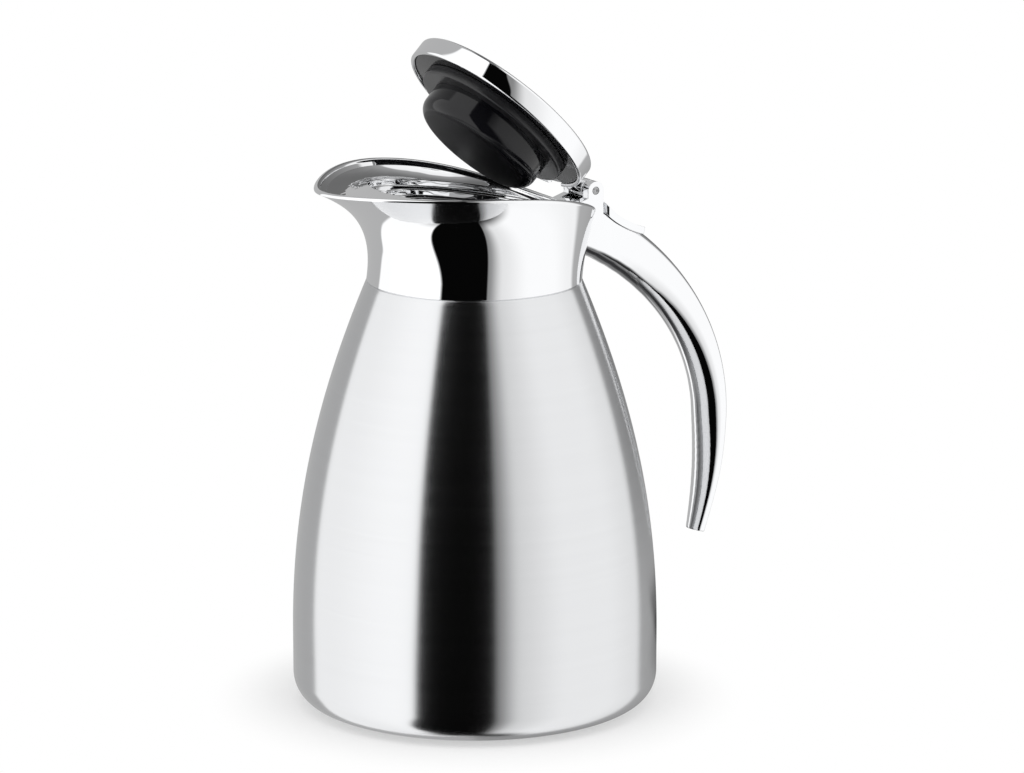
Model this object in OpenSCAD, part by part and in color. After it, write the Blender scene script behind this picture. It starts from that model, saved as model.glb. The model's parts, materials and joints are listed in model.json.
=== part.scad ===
// Vacuum carafe with a pouring collar, a hooked handle and a flip lid.
// The origin is on the body's axis at the level it stands on. +X points to the handle and
// +Z up, so the spout points to -X. The lid is drawn open, with its thumb lever pressed down.

/* [Body] */
// Widest diameter of the body
body_d = 134; // [115:1:165]
// Height of the widest place
belly_z = 26.3; // [20:0.1:40]
// Diameter of the shoulder that carries the collar
seam_d = 78.4; // [72:0.2:96]
// Height of that shoulder
seam_z = 157.5; // [130:0.5:190]
// Lean of the bell where it meets the collar, from the vertical
bell_lean = 22.6; // [10:0.2:35]
// How far the full belly reaches up the bell
belly_pull = 45.9; // [25:0.1:60]
// How far the straight lean reaches down the bell
lean_pull = 48.6; // [25:0.1:60]
// Diameter of the flat underside, inside the rounded corner
base_d = 117; // [100:1:128]
// Height of the rounded base corner
base_corner_h = 10; // [6:0.5:14]
// Wall of the outer shell
shell_t = 0.8; // [0.6:0.1:1.4]

/* [Base] */
// Gap between the shell and the table
base_lift = 1; // [0.6:0.1:2]
// Width of the foot ring
foot_w = 5; // [3:0.5:8]
// Height of the foot ring
foot_h = 4.4; // [3:0.2:6]
// Thickness of the base plate
base_plate_t = 0.8; // [0.6:0.1:1.4]
// How far the middle of the base plate is dished up
base_dish = 1.6; // [0:0.1:3]
// Diameter of the cap over the evacuation hole
evac_cap_d = 14; // [10:1:20]

/* [Inner vessel] */
// Vacuum space between the shell and the inner vessel
vacuum_gap = 7; // [4:0.5:10]
// Wall of the inner vessel
liner_t = 0.6; // [0.5:0.1:1]
// Height of the inner vessel's floor
liner_floor_z = 13; // [10:0.5:20]
// Corner radius of the inner vessel's floor
liner_corner = 12; // [8:0.5:18]
// Diameter of the getter pellet in the vacuum space
getter_d = 12; // [8:1:16]

/* [Neck] */
// How far the neck's wall lies inside the shoulder
neck_in = 6.2; // [5:0.1:10]
// Height of the neck's mouth above the shoulder
neck_h = 12.5; // [10:0.5:15]
// Vacuum space in the neck
neck_gap = 1; // [0.8:0.1:1.5]
// Thickness of the gasket on the mouth
gasket_t = 1.5; // [1:0.1:2.5]

/* [Collar] */
// Wall of the collar
collar_t = 2.4; // [1.8:0.1:3]
// How much the collar widens from the seam to its rim at the back
rim_flare = 3.1; // [1:0.1:6]
// Width of the rim across the spout
rim_w = 96; // [82:0.5:104]
// Distance from the body's axis to the spout's tip
spout_reach = 63; // [55:0.5:75]
// How far the rim's widest place lies towards the spout
rim_shift = 10; // [3:0.1:14]
// How much the spout narrows towards its tip
spout_nip = 0.4; // [0:0.05:0.6]
// Height of the rim above the shoulder at the back, under the lid's hinge
collar_h = 23.3; // [21.5:0.1:26.5]
// Height of the spout's tip above the shoulder
spout_h = 38.7; // [32:0.1:45]
// Angle at which the rim climbs away from the hinge
rim_back_rise = 28; // [20:0.5:40]
// Angle at which the rim dips to the spout's tip
rim_tip_dip = 1; // [0:0.5:15]
// How late the spout curls out, as a power of the height
spout_curl = 3.3; // [2:0.1:5]
// How far the throat under the spout draws in
throat_in = 0.9; // [0:0.1:2]

/* [Lid] */
// Diameter of the lid
lid_d = 76; // [70:0.5:78]
// Height of the lid's side band
lid_band_h = 7.5; // [5:0.5:10]
// Height of the dome above the band
lid_dome_h = 3; // [1:0.5:6]
// Wall of the lid's cap
lid_t = 1; // [0.8:0.1:1.6]
// Tilt of the closed lid, down towards the handle
lid_tilt = 8.5; // [0:0.5:12]
// How far the lid opens from closed
lid_swing = 36.4; // [20:0.2:60]
// Gap round the lid in the collar
lid_gap = 0.5; // [0.3:0.1:1]
// Thickness of the lid's underside plate
liner_plate_t = 2; // [1.6:0.1:3]
// How far the plate lies above the cap's lower edge
plate_rise = 0.8; // [0:0.1:1.5]

/* [Stopper] */
// Gap between the stopper bowl and the pouring bore
stopper_gap = 2.5; // [2:0.1:6]
// Depth of the stopper bowl under the lid
stopper_depth = 14; // [10:0.5:18]
// Radius of the bowl's lower edge
stopper_edge = 5; // [3:0.5:7]
// Wall of the stopper bowl
stopper_t = 1.8; // [1.4:0.1:2.4]
// How far the seal's edge lies inside the lid's edge
seal_in = 7.5; // [6:0.1:10]
// Thickness of the stopper's seal
seal_t = 2.9; // [2:0.1:4]
// Width of the seat under the seal, between its edge and the pouring bore
seat_w = 3.5; // [2.5:0.1:5]

/* [Hinge] */
// Distance of the hinge pin outside the collar's rim
hinge_out = 5.5; // [5:0.1:8]
// Height of the hinge pin above the rim at the back
hinge_h = 5.4; // [3.2:0.1:9]
// Height of the hinge pin above the lid's underside
hinge_above = 7.2; // [5:0.1:9]
// Diameter of the hinge pin
pin_d = 3; // [2.4:0.1:4]
// Diameter of the knuckle
knuckle_d = 7; // [6:0.1:9]
// Width of the knuckle between the ears
knuckle_w = 8.4; // [6:0.2:10]
// Radius of the ears round the pin
ear_r = 3.4; // [3:0.1:5]
// Thickness of each spring washer
washer_t = 0.35; // [0.2:0.05:0.6]

/* [Handle] */
// Width of the handle
handle_w = 16; // [13:0.5:20]
// Width of the handle's lower end
handle_tip_w = 8.6; // [7:0.2:16]
// Distance from the collar's wall to the handle's side crease at mid height
handle_reach = 66.4; // [55:0.1:80]
// How far that place lies below the shoulder
handle_bow_drop = 64; // [48:0.2:78]
// How far the handle's lower end lies below the shoulder
handle_tip_drop = 108; // [88:0.2:118]
// How far the lower end curls back towards the body
handle_tip_in = 6.7; // [2:0.2:14]
// Thickness of the flat side face along the lower half
handle_side = 1.5; // [1.2:0.1:4]
// How much thicker the side face is at the collar
handle_side_root = 8.6; // [6:0.2:10]
// Height of the rounded outer face at the collar
handle_crown = 4.6; // [2:0.1:6]
// Depth of the rounded inner face at mid height
handle_belly = 7.8; // [5:0.1:9]
// Fullness of the inner face, as the power of its oval
handle_full = 1.7; // [1.3:0.1:3]
// Length of the thumb lever beyond the hinge pin
lever_reach = 21.9; // [16:0.1:28]
// Thickness of the thumb lever
lever_t = 2.6; // [2:0.1:4]

/* [Fit] */
// Gap between parts that are fitted together
fit_gap = 0.15; // [0.1:0.05:0.3]
// Gap between parts that move past each other
move_gap = 0.35; // [0.3:0.05:0.6]
// Running clearance of the pin in the knuckle, on the radius
run_gap = 0.05; // [0.02:0.01:0.1]
// Screw diameter
screw_d = 3; // [2:0.1:4]

/* [Hidden] */
$fn = 96;

// Finishes
steel_color = "silver";
inner_steel_color = "lightgray";
chrome_color = "gainsboro";
black_color = [0.08, 0.08, 0.09];
foam_color = "wheat";

// Body and base
body_r = body_d / 2;
seam_r = seam_d / 2;
neck_r = seam_r - neck_in;
base_r = base_d / 2;
foot_r = base_r - 2;
foot_in_r = foot_r - foot_w;
curve_steps = 24;
corner_steps = 8;

// Heights that follow the shoulder's
neck_top_z = seam_z + neck_h;
rim_back_z = seam_z + collar_h;
rim_tip_z = seam_z + spout_h;
hinge_z = rim_back_z + hinge_h;
handle_bow_z = seam_z - handle_bow_drop;
handle_tip_z = seam_z - handle_tip_drop;

// Neck, gasket and lock ring
liner_neck_r = neck_r - shell_t - neck_gap;
mouth_r = liner_neck_r - liner_t;
mouth_lip_z = neck_top_z + liner_t;
funnel_foot_z = mouth_lip_z + gasket_t;
lock_ring_h = 8;
lock_ring_z = seam_z + lock_ring_h;
collar_in_r = seam_r - collar_t;
spigot_r = mouth_r - 0.4;
spigot_t = 1.8;
spigot_depth = 9;

// Lid, in its own frame: the origin is the middle of the underside, Z is the lid's axis
lid_r = lid_d / 2;
rim_back = seam_r + rim_flare;
hinge_x = rim_back + hinge_out;
hinge_off = hinge_x - 0.16;
open_angle = lid_tilt + lid_swing;
seal_r = lid_r - seal_in;
bore_r = seal_r - seat_w;
stopper_r = bore_r - stopper_gap;
ledge_drop = 0.6;
seat_drop = seal_t + 0.2;
recess_r = lid_r + lid_gap;
recess_lip = 2;
plate_r = lid_r - 1.6 - fit_gap;

// Hinge and lever
pin_r = pin_d / 2;
knuckle_r = knuckle_d / 2;
ear_in = knuckle_w / 2 + washer_t + 0.1;
ear_out = handle_w / 2;
arm_t = 2;
arm_w = knuckle_w - 0.8;
plate_top = plate_rise + liner_plate_t;
tongue_z = plate_top + 0.3;
tongue_in_x = lid_r - 14;
lever_screw_d = 2.4;
lever_screw_x = [lid_r - 11.2, lid_r - 5.6];

// Collar and funnel loft
around = 72;
collar_rings = 16;
lip_r = collar_t / 2;
back_slope = (rim_flare + lip_r) / (collar_h - lip_r);
ring_r = collar_in_r - throat_in - fit_gap;

// Handle
path_steps = 12;
screw_r = screw_d / 2;
screw_head_r = screw_d;
screw_head_h = 1.5;
screw_sink = 0.7;
screw_len = 9;
handle_screw_z = [seam_z + 10.5, seam_z + 18];

// A point on a cubic Bezier curve
function bezier(p, t) =
    pow(1 - t, 3) * p[0] + 3 * pow(1 - t, 2) * t * p[1] + 3 * (1 - t) * t * t * p[2]
    + pow(t, 3) * p[3];

// A cubic Bezier curve as a list of points
function bezier_path(p, steps) = [for (i = [0:steps]) bezier(p, i / steps)];

// A quarter of an ellipse from below its centre to beside it, sizes a and b
function corner_path(centre, a, b, steps) =
    [for (i = [0:steps]) centre + [a * sin(90 * i / steps), -b * cos(90 * i / steps)]];

// The direction across a path at point i, to the right of its run
function across(path, i) =
    let (
        before = path[max(i - 1, 0)],
        after = path[min(i + 1, len(path) - 1)],
        run = (after - before) / norm(after - before)
    ) [run[1], -run[0]];

// A path shifted sideways by a distance
function shifted(path, distance) =
    [for (i = [0:len(path) - 1]) path[i] - distance * across(path, i)];

function reversed(list) = [for (i = [len(list) - 1:-1:0]) list[i]];

// Weight that is 0 at the handle and 1 at the spout
function frontness(u) = pow((1 - cos(u)) / 2, 0.8);

// ---- Body ----

// Outer face of the shell, from the underside up to the collar's seam
function bell_path(widest, top, foot, lift) =
    concat(
        corner_path([foot, lift + base_corner_h], widest - foot, base_corner_h, corner_steps),
        bezier_path([
            [widest, belly_z], [widest, belly_z + belly_pull],
            [top + lean_pull * sin(bell_lean), seam_z - lean_pull * cos(bell_lean)],
            [top, seam_z]
        ], curve_steps)
    );

module outer_shell() {
    outside = concat(
        [[foot_r, base_lift]],
        bell_path(body_r, seam_r, base_r, base_lift),
        [[neck_r, seam_z], [neck_r, neck_top_z]]
    );
    bell_inside = shifted(bell_path(body_r, seam_r, base_r, base_lift), shell_t);
    top_inside = seam_z - shell_t;
    inside = concat(
        [[foot_r, foot_h], [foot_r - shell_t, foot_h], [foot_r - shell_t, foot_h + 3]],
        [[foot_r + shell_t, foot_h + 3], [foot_r + shell_t, base_lift + shell_t]],
        [for (p = bell_inside) if (p[1] < top_inside && p[1] > base_lift + shell_t) p],
        [[neck_r - shell_t, top_inside], [neck_r - shell_t, neck_top_z]]
    );
    color(steel_color)
        rotate_extrude($fn = 128)
            polygon(concat(outside, reversed(inside)));
}

module base_plate() {
    plate_r = foot_r - shell_t;
    low = foot_h + 0.6;
    dish = bezier_path([
        [plate_r, low], [plate_r - 8, low], [plate_r - 10, low + base_dish],
        [evac_cap_d, low + base_dish]
    ], 8);
    color(steel_color)
        rotate_extrude()
            polygon(concat(
                dish, [[3, low + base_dish], [3, low + base_dish + base_plate_t]],
                reversed([for (p = dish) p + [0, base_plate_t]])
            ));
}

module evacuation_cap() {
    color(steel_color)
        translate([0, 0, foot_h + 0.6 + base_dish - 1])
            union() {
                cylinder(d = evac_cap_d, h = 1);
                cylinder(r = 2.8, h = 2.2);
            }
}

module foot_ring() {
    color(black_color)
        rotate_extrude()
            polygon([
                [foot_in_r, 0.4], [foot_in_r + 0.4, 0], [foot_r - 0.4, 0], [foot_r, 0.4],
                [foot_r, foot_h], [foot_in_r, foot_h]
            ]);
}

// Outer face of the inner vessel's wall, from its floor to its mouth
function vessel_path() =
    let (widest = body_r - shell_t - vacuum_gap)
    concat(
        corner_path(
            [widest - liner_corner, liner_floor_z + liner_corner],
            liner_corner, liner_corner, corner_steps
        ),
        bezier_path([
            [widest, max(belly_z, liner_floor_z + liner_corner + 2)],
            [widest, belly_z + belly_pull],
            [
                liner_neck_r + lean_pull * sin(bell_lean),
                seam_z - 4 - lean_pull * cos(bell_lean)
            ],
            [liner_neck_r, seam_z - 2]
        ], curve_steps)
    );

module inner_vessel() {
    outside = vessel_path();
    inside = shifted(outside, liner_t);
    color(inner_steel_color)
        rotate_extrude($fn = 128)
            polygon(concat(
                outside,
                [
                    [liner_neck_r, neck_top_z], [neck_r, neck_top_z], [neck_r, mouth_lip_z],
                    [mouth_r, mouth_lip_z], [mouth_r, seam_z - 2]
                ],
                reversed([for (i = [0:len(inside) - 2]) inside[i]])
            ));
}

module inner_floor() {
    floor_r = body_r - shell_t - vacuum_gap - liner_corner;
    color(inner_steel_color)
        rotate_extrude()
            polygon([
                [0, liner_floor_z + 2], [floor_r - 12, liner_floor_z + 2],
                [floor_r - 6, liner_floor_z], [floor_r - 0.1, liner_floor_z],
                [floor_r - 0.1, liner_floor_z + liner_t], [floor_r - 6, liner_floor_z + liner_t],
                [floor_r - 12, liner_floor_z + 2 + liner_t], [0, liner_floor_z + 2 + liner_t]
            ]);
}

module getter() {
    color("dimgray")
        translate([body_r / 3, 0, liner_floor_z - 0.2])
            cylinder(d = getter_d, h = 2.2);
}

// ---- Collar, funnel and what holds them on the neck ----

// Plan of the rim's crest at angle u, 0 at the handle
function rim_xy(u) =
    let (
        half_length = rim_back + rim_shift,
        point = spout_reach - rim_back - 2 * rim_shift
    )
    [
        half_length * cos(u) - rim_shift - point * pow(max(0, -cos(u)), 3),
        rim_w / 2 * sin(u) * (1 - spout_nip * pow(max(0, -cos(u)), 2))
    ];

// Height of the rim's crest, a cubic over its length from the back to the spout's tip
function rim_z(x) =
    let (
        length = rim_back + spout_reach,
        w = (rim_back - x) / length,
        climb = length * tan(rim_back_rise),
        dip = -length * tan(rim_tip_dip)
    )
    rim_back_z * (1 + 2 * w) * pow(1 - w, 2) + climb * w * pow(1 - w, 2)
    + rim_tip_z * w * w * (3 - 2 * w) + dip * w * w * (w - 1);

// Outward direction of the rim's plan at angle u
function rim_out(u) =
    let (run = rim_xy(u + 1) - rim_xy(u - 1))
    [run[1], -run[0]] / norm(run);

// A point of the collar's wall: s is 0 at the seam and 1 at the rim, inset goes inwards
function wall_point(u, s, inset) =
    let (
        top = rim_xy(u),
        top_z = rim_z(top[0]) - lip_r,
        out = rim_out(u),
        grow = pow(s, 1 + (spout_curl - 1) * frontness(u)),
        foot = seam_r * [cos(u), sin(u)],
        draw = throat_in * frontness(u) * 6.75 * s * pow(1 - s, 2),
        side = (1 - grow) * [cos(u), sin(u)] + grow * out,
        xy = (1 - grow) * foot + grow * (top + lip_r * out) - (draw + inset) * side / norm(side)
    )
    [xy[0], xy[1], seam_z + (top_z - seam_z) * s];

// A point of the rounded lip, from the outer wall over the crest to the inner wall
function lip_point(u, turn) =
    let (top = rim_xy(u), out = rim_out(u), z = rim_z(top[0]) - lip_r)
    [
        top[0] + lip_r * cos(turn) * out[0],
        top[1] + lip_r * cos(turn) * out[1],
        z + lip_r * sin(turn)
    ];

// Faces of a tube of rings that share a count of points, with the first joined to the last
function loop_faces(rings, points) = [
    for (i = [0:rings - 1]) for (j = [0:points - 1]) for (half = [0:1])
        let (
            a = i * points + j,
            b = i * points + (j + 1) % points,
            c = ((i + 1) % rings) * points + j,
            d = ((i + 1) % rings) * points + (j + 1) % points
        )
        half == 0 ? [a, b, d] : [a, d, c]
];

// The collar as a closed loop of rings: up the outside, over the lip, down the inside
module collar_shell() {
    angles = [for (j = [0:around - 1]) 360 * j / around];
    outside = [for (i = [0:collar_rings]) [for (u = angles) wall_point(u, i / collar_rings, 0)]];
    lip = [for (turn = [36:36:144]) [for (u = angles) lip_point(u, turn)]];
    inside = [
        for (i = [collar_rings:-1:0])
            [for (u = angles) wall_point(u, i / collar_rings, collar_t)]
    ];
    rings = concat(outside, lip, inside);
    points = [for (ring = rings) for (p = ring) p];
    polyhedron(points, reversed_faces(loop_faces(len(rings), around)), convexity = 6);
}

function reversed_faces(faces) = [for (f = faces) reversed(f)];

module spout_collar() {
    color(chrome_color)
        difference() {
            collar_shell();
            for (z = handle_screw_z)
                handle_screw_cut(z, screw_r + fit_gap);
        }
}

// The lid's own frame at an opening angle, measured from the horizontal
module lid_frame(angle) {
    translate([hinge_x, 0, hinge_z])
        rotate([0, angle, 0])
            translate([-hinge_off, 0, -hinge_above])
                children();
}

// Height above the closed lid's underside, as a height in the body's frame
function closed_z(x, above) =
    let (
        middle_x = hinge_x - hinge_off * cos(lid_tilt) - hinge_above * sin(lid_tilt),
        middle_z = hinge_z + hinge_off * sin(lid_tilt) - hinge_above * cos(lid_tilt)
    )
    middle_z - (x - middle_x) * tan(lid_tilt) + above / cos(lid_tilt);

// Solid block that fills the collar up to the pouring surface
module funnel_block() {
    angles = [for (j = [0:around - 1]) 360 * j / around];
    inset = collar_t + fit_gap;
    wall = [
        for (k = [0:12])
            [
                for (u = angles)
                    let (low = (lock_ring_z - seam_z) / (rim_z(rim_xy(u)[0]) - lip_r - seam_z))
                    wall_point(u, low + (0.97 - low) * k / 12, inset)
            ]
    ];
    edge = [
        for (u = angles)
            let (p = recess_r * [cos(u), sin(u)], w = wall_point(u, 0.97, inset))
            [p[0], p[1], min(closed_z(p[0], recess_lip), w[2] - 0.3)]
    ];
    scoop = [
        for (k = [1:3])
            [
                for (j = [0:around - 1])
                    let (from = wall[len(wall) - 1][j], to = edge[j], w = k / 4)
                    (1 - w) * from + w * to - [0, 0, 1.2 * 4 * w * (1 - w) * frontness(angles[j])]
            ]
    ];
    rings = concat(wall, scoop, [edge]);
    points = concat(
        [for (ring = rings) for (p = ring) p],
        [[0, 0, lock_ring_z], [0, 0, closed_z(0, recess_lip)]]
    );
    last = (len(rings) - 1) * around;
    faces = concat(
        [
            for (i = [0:len(rings) - 2]) for (j = [0:around - 1]) for (half = [0:1])
                let (
                    a = i * around + j,
                    b = i * around + (j + 1) % around,
                    c = a + around,
                    d = b + around
                )
                half == 0 ? [a, d, b] : [a, c, d]
        ],
        [for (j = [0:around - 1]) [len(points) - 2, j, (j + 1) % around]],
        [for (j = [0:around - 1]) [len(points) - 1, last + (j + 1) % around, last + j]]
    );
    polyhedron(points, faces, convexity = 6);
}

module pour_funnel() {
    color(chrome_color)
        difference() {
            union() {
                funnel_block();
                translate([0, 0, funnel_foot_z - spigot_depth])
                    cylinder(r = spigot_r, h = spigot_depth + 1);
            }
            // Room for the neck and its gasket
            difference() {
                translate([0, 0, lock_ring_z - 1])
                    cylinder(r = neck_r + 0.3, h = funnel_foot_z - lock_ring_z + 1);
                translate([0, 0, funnel_foot_z - spigot_depth - 1])
                    cylinder(r = spigot_r, h = spigot_depth + 2);
            }
            translate([0, 0, funnel_foot_z - spigot_depth - 1])
                cylinder(r = spigot_r - spigot_t, h = spigot_depth + 2);
            lid_frame(lid_tilt) {
                translate([0, 0, -ledge_drop])
                    cylinder(r = recess_r, h = 40);
                translate([0, 0, -seat_drop])
                    cylinder(r = seal_r + 1, h = 10);
                translate([0, 0, -stopper_depth - 2])
                    cylinder(r = bore_r, h = stopper_depth + 10);
            }
        }
}

module lock_ring() {
    color(black_color)
        difference() {
            translate([0, 0, seam_z])
                cylinder(r = ring_r, h = lock_ring_h);
            translate([0, 0, seam_z - 1])
                cylinder(r = neck_r + fit_gap, h = lock_ring_h + 2);
            for (turn = [30:60:330])
                rotate([0, 0, turn])
                    translate([neck_r + 1, -2, lock_ring_z - 2.5])
                        cube([4, 4, 3]);
        }
}

module mouth_gasket() {
    color(black_color)
        translate([0, 0, mouth_lip_z])
            difference() {
                cylinder(r = neck_r, h = gasket_t);
                translate([0, 0, -1])
                    cylinder(r = mouth_r, h = gasket_t + 2);
            }
}

// ---- Handle ----

// Lower edge of the handle's side face, as two Bezier curves that meet at the bow
function crease_path() =
    let (
        root = [seam_r, seam_z + 12],
        bow = [seam_r + handle_reach, handle_bow_z],
        tip = bow + [-handle_tip_in, handle_tip_z - handle_bow_z]
    )
    concat(
        bezier_path([root, root + [34.6, -8.6], bow + [0, 38.3], bow], path_steps),
        [
            for (i = [1:path_steps])
                bezier([bow, bow - [0, 17.2], tip + [4.2, 16.4], tip], i / path_steps)
        ]
    );

// Thickness of the side face at a share w of the way from the root to the tip
function side_at(w) = handle_side + handle_side_root * pow(max(0, 1 - w / 0.55), 1.6);

// Height of the rounded outer face over the side face
function crown_at(w) = 1.2 + (handle_crown - 1.2) * pow(1 - w, 2);

// Depth of the rounded inner face
function belly_at(w) = handle_belly * bezier([0.57, 1.57, 0.53, 0.35], w);

// Half width of the handle
function half_width_at(w) =
    handle_w / 2 - (handle_w - handle_tip_w) / 2 * pow(max(0, 2 * w - 1), 1.7);

// A power that keeps the sign
function oval(v) = sign(v) * pow(abs(v), 2 / handle_full);

// One section of the handle: y across, h out from the crease
function handle_section(w) =
    let (half = half_width_at(w))
    concat(
        [for (a = [0:18:180]) [half * cos(a), side_at(w) + crown_at(w) * sin(a)]],
        [for (a = [180:15:360]) [half * oval(cos(a)), belly_at(w) * oval(sin(a))]]
    );

module handle_grip() {
    path = crease_path();
    count = len(path);
    sections = [
        for (i = [0:count - 1])
            let (out = -across(path, i), section = handle_section(i / (count - 1)))
            [for (q = section) [path[i][0] + q[1] * out[0], q[0], path[i][1] + q[1] * out[1]]]
    ];
    n = len(sections[0]);
    points = concat(
        [for (section = sections) for (p = section) p],
        [[path[0][0], 0, path[0][1]], [path[count - 1][0], 0, path[count - 1][1]]]
    );
    faces = concat(
        [
            for (i = [0:count - 2]) for (j = [0:n - 1]) for (half = [0:1])
                let (a = i * n + j, b = i * n + (j + 1) % n, c = a + n, d = b + n)
                half == 0 ? [a, b, d] : [a, d, c]
        ],
        [for (j = [0:n - 1]) [count * n, (j + 1) % n, j]],
        [for (j = [0:n - 1]) [count * n + 1, (count - 1) * n + j, (count - 1) * n + (j + 1) % n]]
    );
    polyhedron(points, reversed_faces(faces), convexity = 8);
}

// Side view of the block that carries the ears, with the lever's bed left to the cut
module root_outline() {
    root_x = seam_r - 1;
    low_z = seam_z + 12;
    polygon(concat(
        [[root_x, low_z - 0.6], [root_x, hinge_z - 4.5], [hinge_x - ear_r, hinge_z - 2.6]],
        [
            for (a = [180:-20:0])
                [hinge_x, hinge_z] + ear_r * [cos(a), sin(a)]
        ],
        [
            [hinge_x + ear_r, hinge_z - 9], [hinge_x + 9.5, hinge_z - 13.6],
            [hinge_x + 9.5, low_z - 1]
        ]
    ));
}

// The collar's back wall as a plain cone, so that the handle's root seats on it
module back_wall_cone(gap) {
    translate([0, 0, seam_z - 1])
        cylinder(
            r1 = seam_r + gap - back_slope, r2 = seam_r + gap + back_slope * (collar_h + 1),
            h = collar_h + 2
        );
}

// Middle line of the thumb lever in its open place, from the hinge pin
function lever_line() =
    bezier_path([
        [2.2, -2.8], [4.6, -8.8], [0.54 * lever_reach, -14.2], [lever_reach, -17.3]
    ], 10);

module lever_outline() {
    line = lever_line();
    top = shifted(line, lever_t / 2);
    low = shifted(line, -lever_t / 2);
    translate([hinge_x, hinge_z])
        polygon(concat(top, reversed(low)));
}

// Room over the handle for the lever's pad, from its underside up
module pad_bed() {
    low = shifted(lever_line(), -lever_t / 2 - move_gap);
    start = ear_r + 0.1;
    polygon(concat(
        [[hinge_x + start, hinge_z + 8], [hinge_x + start, hinge_z + lookup(start, low)]],
        [for (p = low) if (p[0] > start) [hinge_x, hinge_z] + p],
        [[hinge_x + lever_reach + 0.8, hinge_z - 18], [hinge_x + lever_reach + 0.8, hinge_z + 8]]
    ));
}

// Room between the ears for the knuckle and the lever's neck
module slot_outline() {
    low = shifted(lever_line(), -lever_t / 2 - move_gap);
    union() {
        translate([hinge_x, hinge_z])
            circle(r = knuckle_r + move_gap);
        polygon(concat(
            [[rim_back - 2, hinge_z + 10], [rim_back - 2, hinge_z - knuckle_r - move_gap]],
            [[hinge_x, hinge_z - knuckle_r - move_gap]],
            [for (p = low) if (p[0] > 1 && p[0] < 8) [hinge_x, hinge_z] + p],
            [[hinge_x + 8, hinge_z + 10]]
        ));
    }
}

// Something drawn in the side view, as a slab of a width across the object
module across_body(width) {
    rotate([90, 0, 0])
        linear_extrude(width, center = true)
            children();
}

module handle() {
    color(chrome_color)
        difference() {
            union() {
                handle_grip();
                across_body(handle_w)
                    root_outline();
            }
            back_wall_cone(fit_gap / 2);
            across_body(handle_w + 2)
                pad_bed();
            across_body(2 * ear_in)
                slot_outline();
            // Pin hole through both ears
            translate([hinge_x, 0, hinge_z])
                rotate([90, 0, 0])
                    cylinder(r = pin_r, h = handle_w + 2, center = true);
            for (z = handle_screw_z)
                translate([seam_r - 2, 0, z])
                    rotate([0, 90, 0])
                        cylinder(r = screw_r, h = screw_len + 5);
        }
}

// Inner face of the collar's back wall at height z
function back_wall_in(z) = seam_r - collar_t + back_slope * (z - seam_z);

module handle_screw_cut(z, shank_r) {
    translate([back_wall_in(z) - 1, 0, z])
        rotate([0, 90, 0])
            union() {
                cylinder(r = screw_head_r + fit_gap, h = 1 + screw_sink);
                translate([0, 0, 0.99 + screw_sink])
                    cylinder(r1 = screw_head_r + fit_gap, r2 = shank_r, h = screw_head_h);
                cylinder(r = shank_r, h = 8);
            }
}

module handle_screws() {
    color(steel_color)
        for (z = handle_screw_z)
            translate([back_wall_in(z) + screw_sink, 0, z])
                rotate([0, 90, 0])
                    difference() {
                        union() {
                            cylinder(r1 = screw_head_r, r2 = screw_r - 0.05, h = screw_head_h);
                            cylinder(r = screw_r - 0.05, h = screw_len);
                        }
                        translate([0, 0, -0.5])
                            cylinder(r = 1.2, h = 1.3, $fn = 6);
                    }
}

// ---- Hinge ----

module hinge_pin() {
    color(steel_color)
        translate([hinge_x, 0, hinge_z])
            rotate([90, 0, 0])
                cylinder(r = pin_r, h = handle_w, center = true);
}

module hinge_washers() {
    color(steel_color)
        for (side = [-1, 1])
            translate([hinge_x, side * (knuckle_w / 2 + 0.05 + washer_t / 2), hinge_z])
                rotate([90, 0, 0])
                    difference() {
                        cylinder(r = ear_r - 0.3, h = washer_t, center = true);
                        cylinder(r = pin_r + run_gap, h = 2, center = true);
                    }
}

// ---- Lid ----

module lid_cap() {
    dome = [
        for (i = [0:10])
            let (w = i / 10)
            [(lid_r - 1.2) * w, lid_band_h + lid_dome_h * (1 - w * w)]
    ];
    outside = concat(
        dome,
        [
            for (a = [75:-25:0])
                [lid_r - 1.2 + 1.2 * cos(a), lid_band_h - 1.2 + 1.2 * sin(a)]
        ],
        [for (a = [0:-22.5:-180]) [lid_r - 0.8 + 0.8 * cos(a), 0.8 + 0.8 * sin(a)]]
    );
    inside = concat(
        [[plate_r + fit_gap, 5.2], [lid_r - lid_t - 0.6, lid_band_h - lid_t - 0.2]],
        [for (i = [9:-1:0]) dome[i] * (1 - 1.6 / lid_r) - [0, lid_t]]
    );
    color(chrome_color)
        lid_frame(open_angle)
            difference() {
                rotate_extrude($fn = 128)
                    polygon(concat(outside, inside));
                translate([lid_r - 5, -arm_w / 2 - move_gap, -1])
                    cube([8, arm_w + 2 * move_gap, tongue_z + arm_t + 1.5]);
            }
}

module lid_plate() {
    rim_in = plate_r - 1.6;
    pad_w = arm_w + 4;
    color(black_color)
        lid_frame(open_angle)
            difference() {
                union() {
                    rotate_extrude($fn = 128)
                        polygon([
                            [0, plate_rise], [plate_r - 0.4, plate_rise],
                            [plate_r, plate_rise + 0.4], [plate_r, 5], [rim_in, 5],
                            [rim_in, plate_top], [0, plate_top]
                        ]);
                    translate([tongue_in_x - 1, -pad_w / 2, plate_rise + 0.5])
                        cube([lid_r - tongue_in_x - 2.5, pad_w, tongue_z - plate_rise - 0.5]);
                }
                translate([tongue_in_x - fit_gap, -arm_w / 2 - fit_gap, tongue_z])
                    cube([20, arm_w + 2 * fit_gap, 6]);
                for (x = lever_screw_x)
                    translate([x, 0, plate_rise + 0.6])
                        cylinder(d = lever_screw_d, h = 6);
                translate([0, 0, plate_rise - 1])
                    cylinder(r = screw_r + fit_gap, h = 6);
            }
}

// Outer face of the stopper bowl, from the middle of its underside to its rim
function bowl_path(r, depth, edge) =
    concat(
        [for (i = [0:3]) [(r - edge) * i / 4, -depth - 0.8 * (1 - i * i / 16)]],
        corner_path([r - edge, -depth + edge], edge, edge, corner_steps)
    );

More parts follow.
